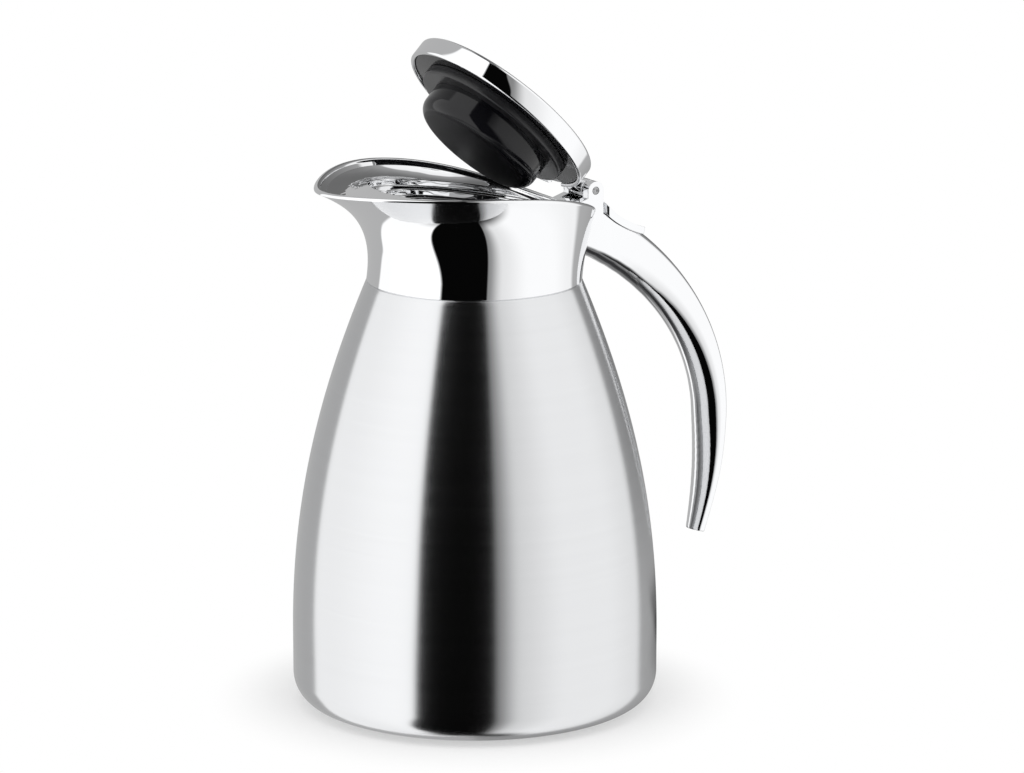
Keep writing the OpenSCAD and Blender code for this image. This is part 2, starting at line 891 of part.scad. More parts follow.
module stopper_bowl() {
    outside = bowl_path(stopper_r, stopper_depth, stopper_edge);
    inside = bowl_path(
        stopper_r - stopper_t, stopper_depth - stopper_t, stopper_edge - stopper_t + 0.6
    );
    color(black_color)
        lid_frame(open_angle)
            difference() {
                union() {
                    rotate_extrude($fn = 128)
                        polygon(concat(
                            outside,
                            [[stopper_r, plate_rise], [stopper_r - stopper_t, plate_rise]],
                            reversed(inside)
                        ));
                    translate([0, 0, -stopper_depth])
                        cylinder(r = 4.5, h = stopper_depth + plate_rise);
                }
                translate([0, 0, -10])
                    cylinder(r = screw_r, h = 11);
            }
}

module stopper_insulation() {
    inside = bowl_path(
        stopper_r - stopper_t - fit_gap, stopper_depth - stopper_t - fit_gap,
        stopper_edge - stopper_t + 0.6
    );
    color(foam_color)
        lid_frame(open_angle)
            difference() {
                rotate_extrude()
                    polygon(concat(
                        inside, [[stopper_r - stopper_t - fit_gap, plate_rise - 0.2],
                        [0, plate_rise - 0.2]]
                    ));
                translate([0, 0, -stopper_depth - 5])
                    cylinder(r = 4.5 + fit_gap, h = stopper_depth + 10);
            }
}

module stopper_seal() {
    color(black_color)
        lid_frame(open_angle)
            rotate_extrude($fn = 128)
                polygon([
                    [stopper_r + 0.05, -seal_t], [seal_r - 0.8, -seal_t], [seal_r, -seal_t + 0.8],
                    [seal_r, plate_rise - 0.5], [seal_r - 0.5, plate_rise],
                    [stopper_r + 0.05, plate_rise]
                ]);
}

module stopper_screw() {
    color(steel_color)
        lid_frame(open_angle)
            difference() {
                union() {
                    translate([0, 0, plate_top])
                        cylinder(r = screw_head_r, h = 1.8);
                    translate([0, 0, -8])
                        cylinder(r = screw_r - 0.05, h = plate_top + 8.5);
                }
                translate([0, 0, plate_top + 0.9])
                    cylinder(r = 1.3, h = 2, $fn = 6);
            }
}

// Arm and tongue in the side view of the lid's frame
module arm_outline() {
    polygon([
        [tongue_in_x, tongue_z], [lid_r, tongue_z],
        [hinge_off - 0.4, hinge_above - knuckle_r + 0.5],
        [hinge_off - 0.6, hinge_above + knuckle_r - 0.6],
        [lid_r + 1.4, tongue_z + arm_t], [tongue_in_x, tongue_z + arm_t]
    ]);
}

// Plan of the thumb pad, seen from above: a narrow neck that widens to a rounded end
module pad_plan() {
    neck = hinge_x + ear_r + 0.5;
    end = hinge_x + lever_reach + 2;
    half = handle_w / 2;
    polygon(concat(
        [
            [hinge_x, -arm_w / 2], [neck, -arm_w / 2], [neck + 1.4, -half + 0.6],
            [neck + 2.2, -half]
        ],
        [for (a = [-90:15:0]) [end - 3 + 3 * cos(a), -half + 3 + 3 * sin(a)]],
        [for (a = [0:15:90]) [end - 3 + 3 * cos(a), half - 3 + 3 * sin(a)]],
        [
            [neck + 2.2, half], [neck + 1.4, half - 0.6], [neck, arm_w / 2],
            [hinge_x, arm_w / 2]
        ]
    ));
}

module thumb_lever() {
    color(chrome_color)
        difference() {
            union() {
                translate([hinge_x, 0, hinge_z])
                    rotate([90, 0, 0])
                        cylinder(r = knuckle_r, h = knuckle_w, center = true);
                intersection() {
                    across_body(handle_w)
                        lever_outline();
                    translate([0, 0, hinge_z - 40])
                        linear_extrude(50)
                            pad_plan();
                }
                lid_frame(open_angle)
                    across_body(arm_w)
                        arm_outline();
            }
            translate([hinge_x, 0, hinge_z])
                rotate([90, 0, 0])
                    cylinder(r = pin_r + run_gap, h = handle_w, center = true);
            lid_frame(open_angle)
                for (x = lever_screw_x)
                    translate([x, 0, 0])
                        cylinder(d = lever_screw_d + 0.2, h = 10);
        }
}

module lever_screws() {
    color(steel_color)
        lid_frame(open_angle)
            for (x = lever_screw_x)
                translate([x, 0, 0])
                    union() {
                        translate([0, 0, plate_rise + 0.8])
                            cylinder(d = lever_screw_d - 0.1, h = tongue_z + arm_t - plate_rise - 0.4);
                        translate([0, 0, tongue_z + arm_t])
                            cylinder(r = 2, h = 0.9);
                    }
}

outer_shell();
base_plate();
evacuation_cap();
foot_ring();
inner_vessel();
inner_floor();
getter();
lock_ring();
spout_collar();
pour_funnel();
mouth_gasket();
handle();
handle_screws();
hinge_pin();
hinge_washers();
lid_cap();
lid_plate();
stopper_bowl();
stopper_insulation();
stopper_seal();
stopper_screw();
thumb_lever();
lever_screws();
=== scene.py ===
"""Vacuum carafe: the finished look, built round the packed CAD part.

The sizes are in metres in the CAD's own frame: the origin is on the body's axis at the table,
+X points to the handle, -X to the spout and +Z up.
"""

import json
import math

import bmesh
import bpy
import numpy as np
from bpy.props import FloatProperty, FloatVectorProperty, IntProperty, PointerProperty
from bpy.types import Operator, Panel, PropertyGroup
from mathutils import Matrix, Vector


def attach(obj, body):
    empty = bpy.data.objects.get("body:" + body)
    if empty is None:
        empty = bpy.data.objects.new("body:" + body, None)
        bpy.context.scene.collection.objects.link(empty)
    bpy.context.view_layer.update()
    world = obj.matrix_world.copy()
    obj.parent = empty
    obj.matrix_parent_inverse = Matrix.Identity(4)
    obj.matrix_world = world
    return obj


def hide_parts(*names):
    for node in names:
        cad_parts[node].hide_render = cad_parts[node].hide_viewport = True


bl_info = {
    "name": "Vacuum Carafe",
    "version": (1, 0, 0),
    "blender": (4, 5, 0),
    "location": "3D View > Sidebar > Carafe",
    "description": "Builds a steel vacuum carafe with a flared collar, a handle and a flip lid",
    "category": "Object",
}

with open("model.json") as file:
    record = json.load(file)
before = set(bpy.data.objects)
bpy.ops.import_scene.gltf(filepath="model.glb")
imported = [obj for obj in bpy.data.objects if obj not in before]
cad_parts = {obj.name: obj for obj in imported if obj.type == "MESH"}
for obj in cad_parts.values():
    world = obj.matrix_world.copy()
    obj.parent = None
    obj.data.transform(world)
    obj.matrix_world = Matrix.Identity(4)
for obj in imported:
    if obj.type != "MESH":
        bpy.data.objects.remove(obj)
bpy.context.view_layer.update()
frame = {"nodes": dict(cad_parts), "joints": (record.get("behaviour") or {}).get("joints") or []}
NODES = frame["nodes"]
HINGE = Vector(frame["joints"][0]["pos_m"])
MM = 0.001
TURN = 2 * math.pi
DEGREES = 180 / math.pi
WELD = 1e-7  # points nearer than this become one


def length(name, value, description):
    """A size in metres, given here in millimetres."""
    return FloatProperty(
        name=name, default=value * MM, description=description, subtype="DISTANCE", precision=5
    )


def angle(name, value, description):
    """An angle, given here in degrees."""
    return FloatProperty(
        name=name, default=math.radians(value), description=description, subtype="ANGLE"
    )


def plain(name, value, description):
    """A bare number."""
    return FloatProperty(name=name, default=value, description=description)


def color(name, value, description):
    """A linear colour."""
    return FloatVectorProperty(
        name=name, default=value, description=description, subtype="COLOR", min=0, max=1
    )


# ---- Sizes and colours -------------------------------------------------------------------


class BodySizes(PropertyGroup):
    """The bell body, its base and its neck."""

    radius: length("Radius", 67, "Widest radius of the bell")
    belly_height: length("Belly Height", 26.3, "Height of the widest place")
    seam_radius: length("Seam Radius", 39.2, "Radius of the shoulder under the collar")
    seam_height: length("Seam Height", 157.5, "Height of the shoulder under the collar")
    lean: angle("Lean", 22.6, "Lean of the bell at the collar, from the vertical")
    belly_pull: length("Belly Pull", 45.9, "How far the full belly reaches up the bell")
    lean_pull: length("Lean Pull", 48.6, "How far the lean reaches down the bell")
    base_radius: length("Base Radius", 58.5, "Radius of the flat underside")
    corner_height: length("Corner Height", 10, "Height of the rounded base corner")
    lift: length("Lift", 1, "Gap between the shell and the table")
    wall: length("Wall", 0.8, "Thickness of the shell")
    neck_radius: length("Neck Radius", 33, "Radius of the neck inside the collar")
    neck_top: length("Neck Top", 170, "Height of the neck's mouth")
    foot_width: length("Foot Width", 5, "Width of the foot ring")
    foot_height: length("Foot Height", 4.4, "Height of the foot ring")
    plate_thickness: length("Base Plate", 0.8, "Thickness of the base plate")
    plate_dish: length("Base Dish", 1.6, "How far the base plate is dished up")
    segments: IntProperty(name="Segments", default=256, description="Steps round a turned piece")


class CollarSizes(PropertyGroup):
    """The collar, its spout and the funnel inside it."""

    wall: length("Wall", 2.4, "Thickness of the collar")
    flare: length("Flare", 3.1, "How much the collar widens from the seam to its rim at the back")
    rim_width: length("Rim Width", 96, "Width of the rim across the spout")
    reach: length("Spout Reach", 63, "Distance from the axis to the spout's tip")
    shift: length("Rim Shift", 10, "How far the rim's widest place lies towards the spout")
    nip: plain("Spout Nip", 0.4, "How much the spout narrows towards its tip")
    rim_back: length("Rim Back", 180.8, "Height of the rim under the hinge")
    rim_tip: length("Rim Tip", 196.2, "Height of the spout's tip")
    back_rise: angle("Back Rise", 28, "Angle at which the rim climbs from the hinge")
    tip_dip: angle("Tip Dip", 1, "Angle at which the rim dips to the spout's tip")
    curl: plain("Spout Curl", 3.3, "How late the spout curls out")
    throat: length("Throat", 0.9, "How far the throat under the spout draws in")
    fit: length("Fit", 0.15, "Gap between the collar and the funnel")
    foot: length("Funnel Foot", 165.5, "Height of the funnel's lower edge")
    seat_height: length("Seat Height", 172.1, "Height at which the funnel rests on its gasket")
    spigot_radius: length("Spigot Radius", 30, "Radius of the spigot in the vessel's mouth")
    spigot_wall: length("Spigot Wall", 1.8, "Thickness of the spigot")
    spigot_depth: length("Spigot Depth", 9, "Depth of the spigot in the vessel's mouth")
    segments: IntProperty(name="Segments", default=360, description="Steps round the collar")


class LidSizes(PropertyGroup):
    """The lid, in a frame of its own: the origin is the middle of its underside."""

    radius: length("Radius", 38, "Radius of the lid")
    band: length("Band", 7.5, "Height of the side band")
    dome: length("Dome", 3, "Height of the dome above the band")
    wall: length("Wall", 1, "Thickness of the cap")
    closed_tilt: angle("Closed Tilt", 8.5, "Tilt of the closed lid")
    open_tilt: angle("Open Tilt", 44.9, "Tilt of the lid as it stands here")
    hinge_out: length("Hinge Out", 47.64, "Distance from the lid's middle to the hinge pin")
    hinge_above: length("Hinge Above", 7.2, "Height of the hinge pin above the underside")
    gap: length("Gap", 0.5, "Gap round the lid in the collar")
    ledge: length("Ledge", 0.6, "Depth of the ledge under the closed lid")
    recess: length("Recess", 2, "Height of the recess round the closed lid")
    plate_radius: length("Plate Radius", 36.25, "Radius of the black plate")
    plate_rise: length("Plate Rise", 0.8, "How far the plate lies above the cap's edge")
    plate_thickness: length("Plate Thickness", 2, "Thickness of the black plate")
    bowl_radius: length("Bowl Radius", 24.5, "Radius of the stopper bowl")
    bowl_depth: length("Bowl Depth", 14, "Depth of the stopper bowl")
    bowl_edge: length("Bowl Edge", 5, "Radius of the bowl's lower edge")
    bowl_wall: length("Bowl Wall", 1.8, "Thickness of the bowl")
    bowl_dish: length("Bowl Dish", 0.8, "How far the bowl's underside bulges")
    seal_radius: length("Seal Radius", 30.5, "Radius of the stopper's seal")
    seal_thickness: length("Seal Thickness", 2.9, "Thickness of the stopper's seal")
    bore_radius: length("Bore Radius", 27, "Radius of the pouring bore")


class HandleSizes(PropertyGroup):
    """The handle, its ears and the thumb lever."""

    width: length("Width", 16, "Width of the handle")
    tip_width: length("Tip Width", 8.6, "Width of the lower end")
    reach: length("Reach", 66.4, "Distance from the collar to the crease at the bow")
    bow_height: length("Bow Height", 93.5, "Height of the bow")
    tip_height: length("Tip Height", 49.5, "Height of the lower end")
    tip_in: length("Tip In", 6.7, "How far the lower end curls back")
    side: length("Side", 1.5, "Thickness of the side face along the lower half")
    side_root: length("Side Root", 8.6, "How much thicker the side face is at the collar")
    crown: length("Crown", 4.6, "Height of the rounded outer face at the collar")
    crown_tip: length("Crown Tip", 1.2, "Height of the rounded outer face at the lower end")
    belly: length("Belly", 7.8, "Depth of the rounded inner face")
    fullness: plain("Fullness", 1.7, "Fullness of the inner face")
    ear_radius: length("Ear Radius", 3.4, "Radius of the ears round the pin")
    pin_radius: length("Pin Radius", 1.5, "Radius of the hinge pin")
    knuckle_radius: length("Knuckle Radius", 3.5, "Radius of the lever's knuckle")
    knuckle_width: length("Knuckle Width", 8.4, "Width of the lever's knuckle")
    arm_width: length("Arm Width", 7.6, "Width of the lever's arm")
    washer: length("Washer", 0.35, "Thickness of a spring washer")
    clearance: length("Clearance", 0.35, "Gap round what moves")
    lever_reach: length("Lever Reach", 21.9, "Length of the thumb lever beyond the pin")
    lever_thickness: length("Lever Thickness", 2.6, "Thickness of the thumb lever")
    lever_arm: length("Arm Thickness", 2, "Thickness of the lever's tongue on the plate")
    tongue_height: length("Tongue Height", 3.1, "Height of the tongue above the lid's underside")
    tongue_start: length("Tongue Start", 24, "Distance of the tongue's end from the lid's middle")


class Finishes(PropertyGroup):
    """Colours of the finishes and the floor."""

    steel: color("Brushed Steel", (0.7, 0.706, 0.716), "Colour of the brushed body")
    chrome: color("Polished Steel", (0.84, 0.845, 0.855), "Colour of the polished pieces")
    black: color("Black Plastic", (0.006, 0.006, 0.0075), "Colour of the glossy black plastic")
    rubber: color("Silicone", (0.018, 0.018, 0.02), "Colour of the seals and the foot")
    foam: color("Foam", (0.62, 0.52, 0.3), "Colour of the insulation")
    floor: color("Floor", (0.82, 0.82, 0.82), "Colour of the floor")


class StudioSizes(PropertyGroup):
    """The camera and the light round the carafe."""

    camera_place: FloatVectorProperty(
        name="Camera Place",
        default=(-0.9552, -1.4753, 0.5316),
        description="Where the camera stands",
        subtype="TRANSLATION",
    )
    camera_pitch: angle("Camera Pitch", 76.737, "Tilt of the camera from straight down")
    camera_yaw: angle("Camera Yaw", -33.368, "Turn of the camera about the vertical")
    lens: plain("Lens", 174.1, "Focal length in millimetres")
    light_azimuth: angle("Light Azimuth", -122.9, "Direction the light's pattern is centred on")
    floor_radius: length("Floor Radius", 1500, "Radius of the floor")


GROUPS = {
    "carafe_body": BodySizes,
    "carafe_collar": CollarSizes,
    "carafe_lid": LidSizes,
    "carafe_handle": HandleSizes,
    "carafe_finish": Finishes,
    "carafe_studio": StudioSizes,
}


# ---- Curves ------------------------------------------------------------------------------


def bezier(points, count):
    """Points on a cubic Bezier curve."""
    t = np.linspace(0, 1, count)[:, None]
    p = np.array(points, float)
    start = (1 - t) ** 3 * p[0] + 3 * (1 - t) ** 2 * t * p[1]
    return start + 3 * (1 - t) * t * t * p[2] + t**3 * p[3]


def quarter(centre, a, b, count):
    """A quarter ellipse from below its centre to beside it."""
    t = np.linspace(0, math.pi / 2, count)
    return np.stack([centre[0] + a * np.sin(t), centre[1] - b * np.cos(t)], 1)


def arc(x, z, radius, start, end, count):
    """Points on an arc in the side view, in degrees."""
    t = np.radians(np.linspace(start, end, count))
    return np.stack([x + radius * np.cos(t), z + radius * np.sin(t)], 1)


def level_ring(u, radius, height):
    """Points at the angles u on a level circle round the axis."""
    flat = [radius * np.cos(u), radius * np.sin(u)]
    return np.column_stack([*flat, np.broadcast_to(height, u.shape)])


def normals(path):
    """Unit vectors to the right of a path's run."""
    run = np.gradient(path, axis=0)
    run /= np.linalg.norm(run, axis=1)[:, None]
    return np.stack([run[:, 1], -run[:, 0]], 1)


def shifted(path, distance):
    """A path moved sideways, to the left of its run."""
    return path - distance * normals(path)


def joined(*parts):
    """One array of points from points and paths."""
    return np.concatenate([np.atleast_2d(np.array(p, float)) for p in parts])


def rounded_rings(rings, corners, steps=5):
    """A loft whose named rings, given as index: radius, are rounded.

    A rounding takes up a little less than half of each side at the most.
    """
    result = []
    for i, ring in enumerate(rings):
        size = corners.get(i)
        if size is None:
            result.append(ring)
            continue
        ends = []
        for other in (rings[i - 1], rings[(i + 1) % len(rings)]):
            side = other - ring
            reach = np.maximum(np.linalg.norm(side, axis=1), 1e-9)[:, None]
            ends.append(ring + side * np.minimum(size / reach, 0.49))
        for t in np.linspace(0, 1, steps):
            result.append((1 - t) ** 2 * ends[0] + 2 * (1 - t) * t * ring + t * t * ends[1])
    return result


def rounded(points, corners, steps=5):
    """A path whose named corners, given as index: radius, are rounded."""
    return np.concatenate(rounded_rings([p[None] for p in points], corners, steps))


# ---- Meshes ------------------------------------------------------------------------------


def linked(name, data):
    """A new object in the scene."""
    thing = bpy.data.objects.new(name, data)
    bpy.context.scene.collection.objects.link(thing)
    return thing


def raw_object(name, vertices, faces=()):
    """A new object from points in metres, left as they are."""
    mesh = bpy.data.meshes.new(name)
    mesh.from_pydata([tuple(v) for v in vertices], [], faces)
    return linked(name, mesh)


def cleaned(mesh):
    """Welds doubled points, drops faces without an area and turns the rest outwards."""
    work = bmesh.new()
    work.from_mesh(mesh)
    bmesh.ops.remove_doubles(work, verts=work.verts, dist=WELD)
    bmesh.ops.dissolve_degenerate(work, edges=work.edges, dist=WELD / 10)
    bmesh.ops.recalc_face_normals(work, faces=work.faces)
    work.to_mesh(mesh)
    work.free()


def mesh_object(name, vertices, faces):
    """A new solid from points in metres."""
    piece = raw_object(name, vertices, faces)
    cleaned(piece.data)
    return piece


def lofted(name, rings, closed=True, capped=False):
    """A skin over rings of points. A closed one joins its last ring to its first."""
    count = len(rings[0])
    vertices = np.concatenate(rings)
    faces = []
    for i in range(len(rings) if closed else len(rings) - 1):
        low, high = i * count, (i + 1) % len(rings) * count
        for j in range(count):
            k = (j + 1) % count
            faces.append((low + j, low + k, high + k, high + j))
    if capped:
        faces.append(tuple(range(count)))
        faces.append(tuple(range(len(vertices) - count, len(vertices))))
    return mesh_object(name, vertices, faces)


def slab(name, near, far):
    """The solid between two matching outlines."""
    count = len(near)
    faces = [tuple(range(count)), tuple(range(count, 2 * count))]
    faces += [(i, (i + 1) % count, count + (i + 1) % count, count + i) for i in range(count)]
    return mesh_object(name, [*near, *far], faces)


def prism(name, outline, width):
    """An outline in the side view, drawn out to both sides of the middle."""
    sides = ([(x, y, z) for x, z in outline] for y in (-width / 2, width / 2))
    return slab(name, *sides)


def rod(name, x, z, radius, width, segments=64):
    """A round bar across the carafe."""
    turn = np.linspace(0, TURN, segments, endpoint=False)
    outline = np.stack([x + radius * np.cos(turn), z + radius * np.sin(turn)], 1)
    return prism(name, outline, width)


def combined(piece, other, operation):
    """Joins another solid to a piece or cuts it away, and removes the other."""
    modifier = piece.modifiers.new("combine", "BOOLEAN")
    modifier.object = other
    modifier.operation = operation
    modifier.solver = "EXACT"
    baked(piece)
    bpy.data.objects.remove(other)
    return piece


def baked(piece):
    """Turns a piece's modifiers into its mesh."""
    graph = bpy.context.evaluated_depsgraph_get()
    mesh = bpy.data.meshes.new_from_object(piece.evaluated_get(graph))
    piece.modifiers.clear()
    piece.data = mesh
    return piece


def shaded(piece, sharp=30):
    """Smooth shading, with edges sharper than the angle left crisp."""
    piece.data.shade_smooth()
    piece.data.set_sharp_from_angle(angle=math.radians(sharp))


def painted(mesh, material):
    """Gives a mesh one material."""
    mesh.materials.clear()
    mesh.materials.append(material)


def paint_nodes(material, *nodes):
    """Gives a material to CAD nodes that are shown as they are."""
    for node in nodes:
        painted(NODES[node].data, material)


def placed(piece, material, body, slot, *nodes):
    """Finishes a piece: its material, the body it rides on and the CAD nodes it stands for."""
    painted(piece.data, material)
    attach(piece, body)
    if nodes:
        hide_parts(*nodes)
    return piece


def lid_matrix(lid, tilt):
    """Takes the lid's own frame to the carafe's, at a tilt."""
    to_hinge = Matrix.Translation(-Vector((lid.hinge_out, 0, lid.hinge_above)))
    return Matrix.Translation(HINGE) @ Matrix.Rotation(tilt, 4, "Y") @ to_hinge


def moved(points, matrix):
    """Points taken through a matrix."""
    m = np.array(matrix)
    return points @ m[:3, :3].T + m[:3, 3]


# ---- Node trees --------------------------------------------------------------------------


class Value:
    """A node socket that can be used in Python arithmetic."""

    def __init__(self, tree, socket):
        self.tree = tree
        self.socket = socket

    def math(self, operation, *others):
        node = self.tree.nodes.new("ShaderNodeMath")
        node.operation = operation
        for i, value in enumerate((self, *others)):
            connect(self.tree, value, node.inputs[i])
        return Value(self.tree, node.outputs[0])

    def __add__(self, other):
        return self.math("ADD", other)

    def __sub__(self, other):
        return self.math("SUBTRACT", other)

    def __mul__(self, other):
        return self.math("MULTIPLY", other)

    def __truediv__(self, other):
        return self.math("DIVIDE", other)

    def __rsub__(self, other):
        return (self * -1) + other

    __radd__ = __add__
    __rmul__ = __mul__

    def clamped(self):
        return self.math("MAXIMUM", 0.0).math("MINIMUM", 1.0)

    def step(self, low, high):
        """0 below low and 1 above high, with a smooth rise between them."""
        t = ((self - low) / (high - low)).clamped()
        return t * t * (3 - 2 * t)

    def band(self, low, high, soft):
        """1 between two values and 0 outside them, with soft edges."""
        return self.step(low - soft, low + soft) * (1 - self.step(high - soft, high + soft))


def connect(tree, value, socket):
    """Links a Value to a socket, or sets the socket to a plain value."""
    if isinstance(value, Value):
        tree.links.new(value.socket, socket)
    else:
        socket.default_value = value


class Nodes:
    """A node tree with one way to add a node."""

    def __init__(self, tree):
        self.tree = tree

    def add(self, kind, output=0, settings=None, **inputs):
        """Adds a node, sets it up and returns one of its outputs, if it has any."""
        node = self.tree.nodes.new(kind)
        for name, value in (settings or {}).items():
            setattr(node, name, value)
        by_name = {s.name.replace(" ", "_"): s for s in reversed(node.inputs) if s.enabled}
        for name, value in inputs.items():
            connect(self.tree, value, by_name[name])
        return Value(self.tree, node.outputs[output]) if node.outputs else None


def new_material(name, metallic=0.0):
    """A material with its Nodes and its Principled shader."""
    material = bpy.data.materials.new(name)
    material.use_nodes = True
    shader = material.node_tree.nodes["Principled BSDF"]
    shader.inputs["Metallic"].default_value = metallic
    return material, Nodes(material.node_tree), shader


def object_axes(nodes):
    """The object's own coordinates, split."""
    place = nodes.add("ShaderNodeTexCoord", output=3)
    split = nodes.add("ShaderNodeSeparateXYZ", Vector=place)
    parts = split.socket.node.outputs
    return place, [Value(nodes.tree, s) for s in parts]


def noise(nodes, vector, scale, detail=3.0, roughness=0.5):
    """A noise value about 0.5."""
    return nodes.add(
        "ShaderNodeTexNoise", Vector=vector, Scale=scale, Detail=detail, Roughness=roughness
    )


def stretched(nodes, axes, across, along):
    """Coordinates squeezed along Z and drawn out round the axis."""
    x, y, z = axes
    return nodes.add("ShaderNodeCombineXYZ", X=x * across, Y=y * across, Z=z * along)


def bumped(nodes, shader, height, distance):
    """Feeds a height to the shader's normal."""
    normal = nodes.add("ShaderNodeBump", Strength=1.0, Distance=distance, Height=height)
    connect(nodes.tree, normal, shader.inputs["Normal"])


def toned(nodes, shader, factor, tint, low, high):
    """Feeds the base colour: a tint that varies between two of its own shades."""
    mix = nodes.add("ShaderNodeMix", output=2, settings={"data_type": "RGBA"})
    sockets = mix.socket.node.inputs
    connect(nodes.tree, factor, sockets[0])
    for index, shade in ((6, low), (7, high)):
        sockets[index].default_value = (*(min(1.0, c * shade) for c in tint), 1)
    connect(nodes.tree, mix, shader.inputs["Base Color"])


def brushed_steel(finish):
    """Steel brushed round its axis: streaks a hundredth of a millimetre high."""
    material, nodes, shader = new_material("brushed_steel", 1.0)
    place, axes = object_axes(nodes)
    fine = noise(nodes, stretched(nodes, axes, 9, 2600), 1.0, 4.0, 0.65)
    coarse = noise(nodes, stretched(nodes, axes, 5, 420), 1.0, 2.0)
    cloud = noise(nodes, place, 22.0, 2.0)
    shade = fine * 0.6 + coarse * 0.4
    toned(nodes, shader, shade, finish.steel, 0.96, 1.04)
    connect(nodes.tree, 0.12 + shade * 0.09 + cloud * 0.02, shader.inputs["Roughness"])
    shader.inputs["Anisotropic"].default_value = 0.65
    shader.inputs["Anisotropic Rotation"].default_value = 0.25
    bumped(nodes, shader, fine, 0.012 * MM)
    return material


def slanting_ripples(nodes, axes):
    """The ripples that pressing leaves in the spout, fading out towards the axis."""
    x, y, z = axes
    cos, sin = 0.82, 0.58
    slant = nodes.add(
        "ShaderNodeCombineXYZ", X=(x * cos + y * sin) * 45, Y=(y * cos - x * sin) * 210, Z=z * 90
    )
    return noise(nodes, slant, 1.0, 2.0) * (1 - x.step(-0.03, 0.0))


def polished_steel(finish, name, wave=0.0, bevel=0.0, ripple=0.0):
    """Mirror-polished steel, with faint cloudiness and, if asked, a slow waviness, ripples and
    softened edges."""
    material, nodes, shader = new_material(name, 1.0)
    place, axes = object_axes(nodes)
    smudge = noise(nodes, place, 35.0, 4.0, 0.6)
    toned(nodes, shader, smudge, finish.chrome, 0.98, 1.02)
    connect(nodes.tree, 0.015 + smudge.step(0.45, 0.8) * 0.045, shader.inputs["Roughness"])
    normal = None
    if bevel:
        normal = nodes.add("ShaderNodeBevel", settings={"samples": 6}, Radius=bevel)
    if wave:
        height = noise(nodes, place, 55.0, 2.0, 0.5)
        if ripple:
            height = height + slanting_ripples(nodes, axes) * ripple
        bump = nodes.add("ShaderNodeBump", Strength=1.0, Distance=wave, Height=height)
        if normal:
            connect(nodes.tree, normal, bump.socket.node.inputs["Normal"])
        normal = bump
    if normal:
        connect(nodes.tree, normal, shader.inputs["Normal"])
    return material


def dull_steel(finish):
    """Ground steel of the hinge pin's ends."""
    material, nodes, shader = new_material("pin_steel", 1.0)
    place, _ = object_axes(nodes)
    grain = noise(nodes, place, 900.0, 3.0)
    toned(nodes, shader, grain, finish.chrome, 0.42, 0.55)
    connect(nodes.tree, 0.18 + grain * 0.16, shader.inputs["Roughness"])
    return material


def inner_steel(finish, name):
    """Plain drawn steel, as inside the vessel."""
    material, nodes, shader = new_material(name, 1.0)
    _, axes = object_axes(nodes)
    streak = noise(nodes, stretched(nodes, axes, 12, 700), 1.0, 3.0)
    toned(nodes, shader, streak, finish.steel, 0.8, 0.92)
    connect(nodes.tree, 0.24 + streak * 0.14, shader.inputs["Roughness"])
    bumped(nodes, shader, streak, 0.02 * MM)
    return material


def glossy_black(finish, name, matt=None):
    """Moulded glossy plastic with a slight waviness and dust-fine variation in gloss.

    What lies beyond the distance of matt, measured along its direction, is less glossy.
    """
    material, nodes, shader = new_material(name)
    place, axes = object_axes(nodes)
    haze = noise(nodes, place, 60.0, 4.0, 0.6)
    wave = noise(nodes, place, 45.0, 1.0)
    toned(nodes, shader, haze, finish.black, 0.8, 1.3)
    gloss = 0.05 + haze * 0.07
    if matt:
        start, (dx, dy, dz) = matt
        depth = axes[0] * dx + axes[1] * dy + axes[2] * dz - start
        gloss = gloss + depth.step(-0.4 * MM, 0.4 * MM) * 0.32
    connect(nodes.tree, gloss, shader.inputs["Roughness"])
    shader.inputs["IOR"].default_value = 1.4
    bumped(nodes, shader, wave, 0.08 * MM)
    return material


def silicone(finish, name, gloss):
    """Soft black rubber with a fine grain."""
    material, nodes, shader = new_material(name)
    place, _ = object_axes(nodes)
    grain = noise(nodes, place, 1800.0, 2.0)
    patch = noise(nodes, place, 40.0, 3.0)
    toned(nodes, shader, patch, finish.rubber, 0.75, 1.4)
    connect(nodes.tree, gloss - 0.08 + patch * 0.16, shader.inputs["Roughness"])
    bumped(nodes, shader, grain, 0.01 * MM)
    return material


def foam(finish):
    """Open foam with small cells."""
    material, nodes, shader = new_material("foam")
    place, _ = object_axes(nodes)
    cells = nodes.add("ShaderNodeTexVoronoi", Vector=place, Scale=900.0)
    toned(nodes, shader, cells.clamped(), finish.foam, 0.6, 1.0)
    shader.inputs["Roughness"].default_value = 0.95
    bumped(nodes, shader, cells, 0.3 * MM)
    return material


def shader_mix(nodes, factor, first, second):
    """A mix of two shaders."""
    mix = nodes.add("ShaderNodeMixShader")
    for socket, value in zip(mix.socket.node.inputs, (factor, first, second)):
        connect(nodes.tree, value, socket)
    return mix


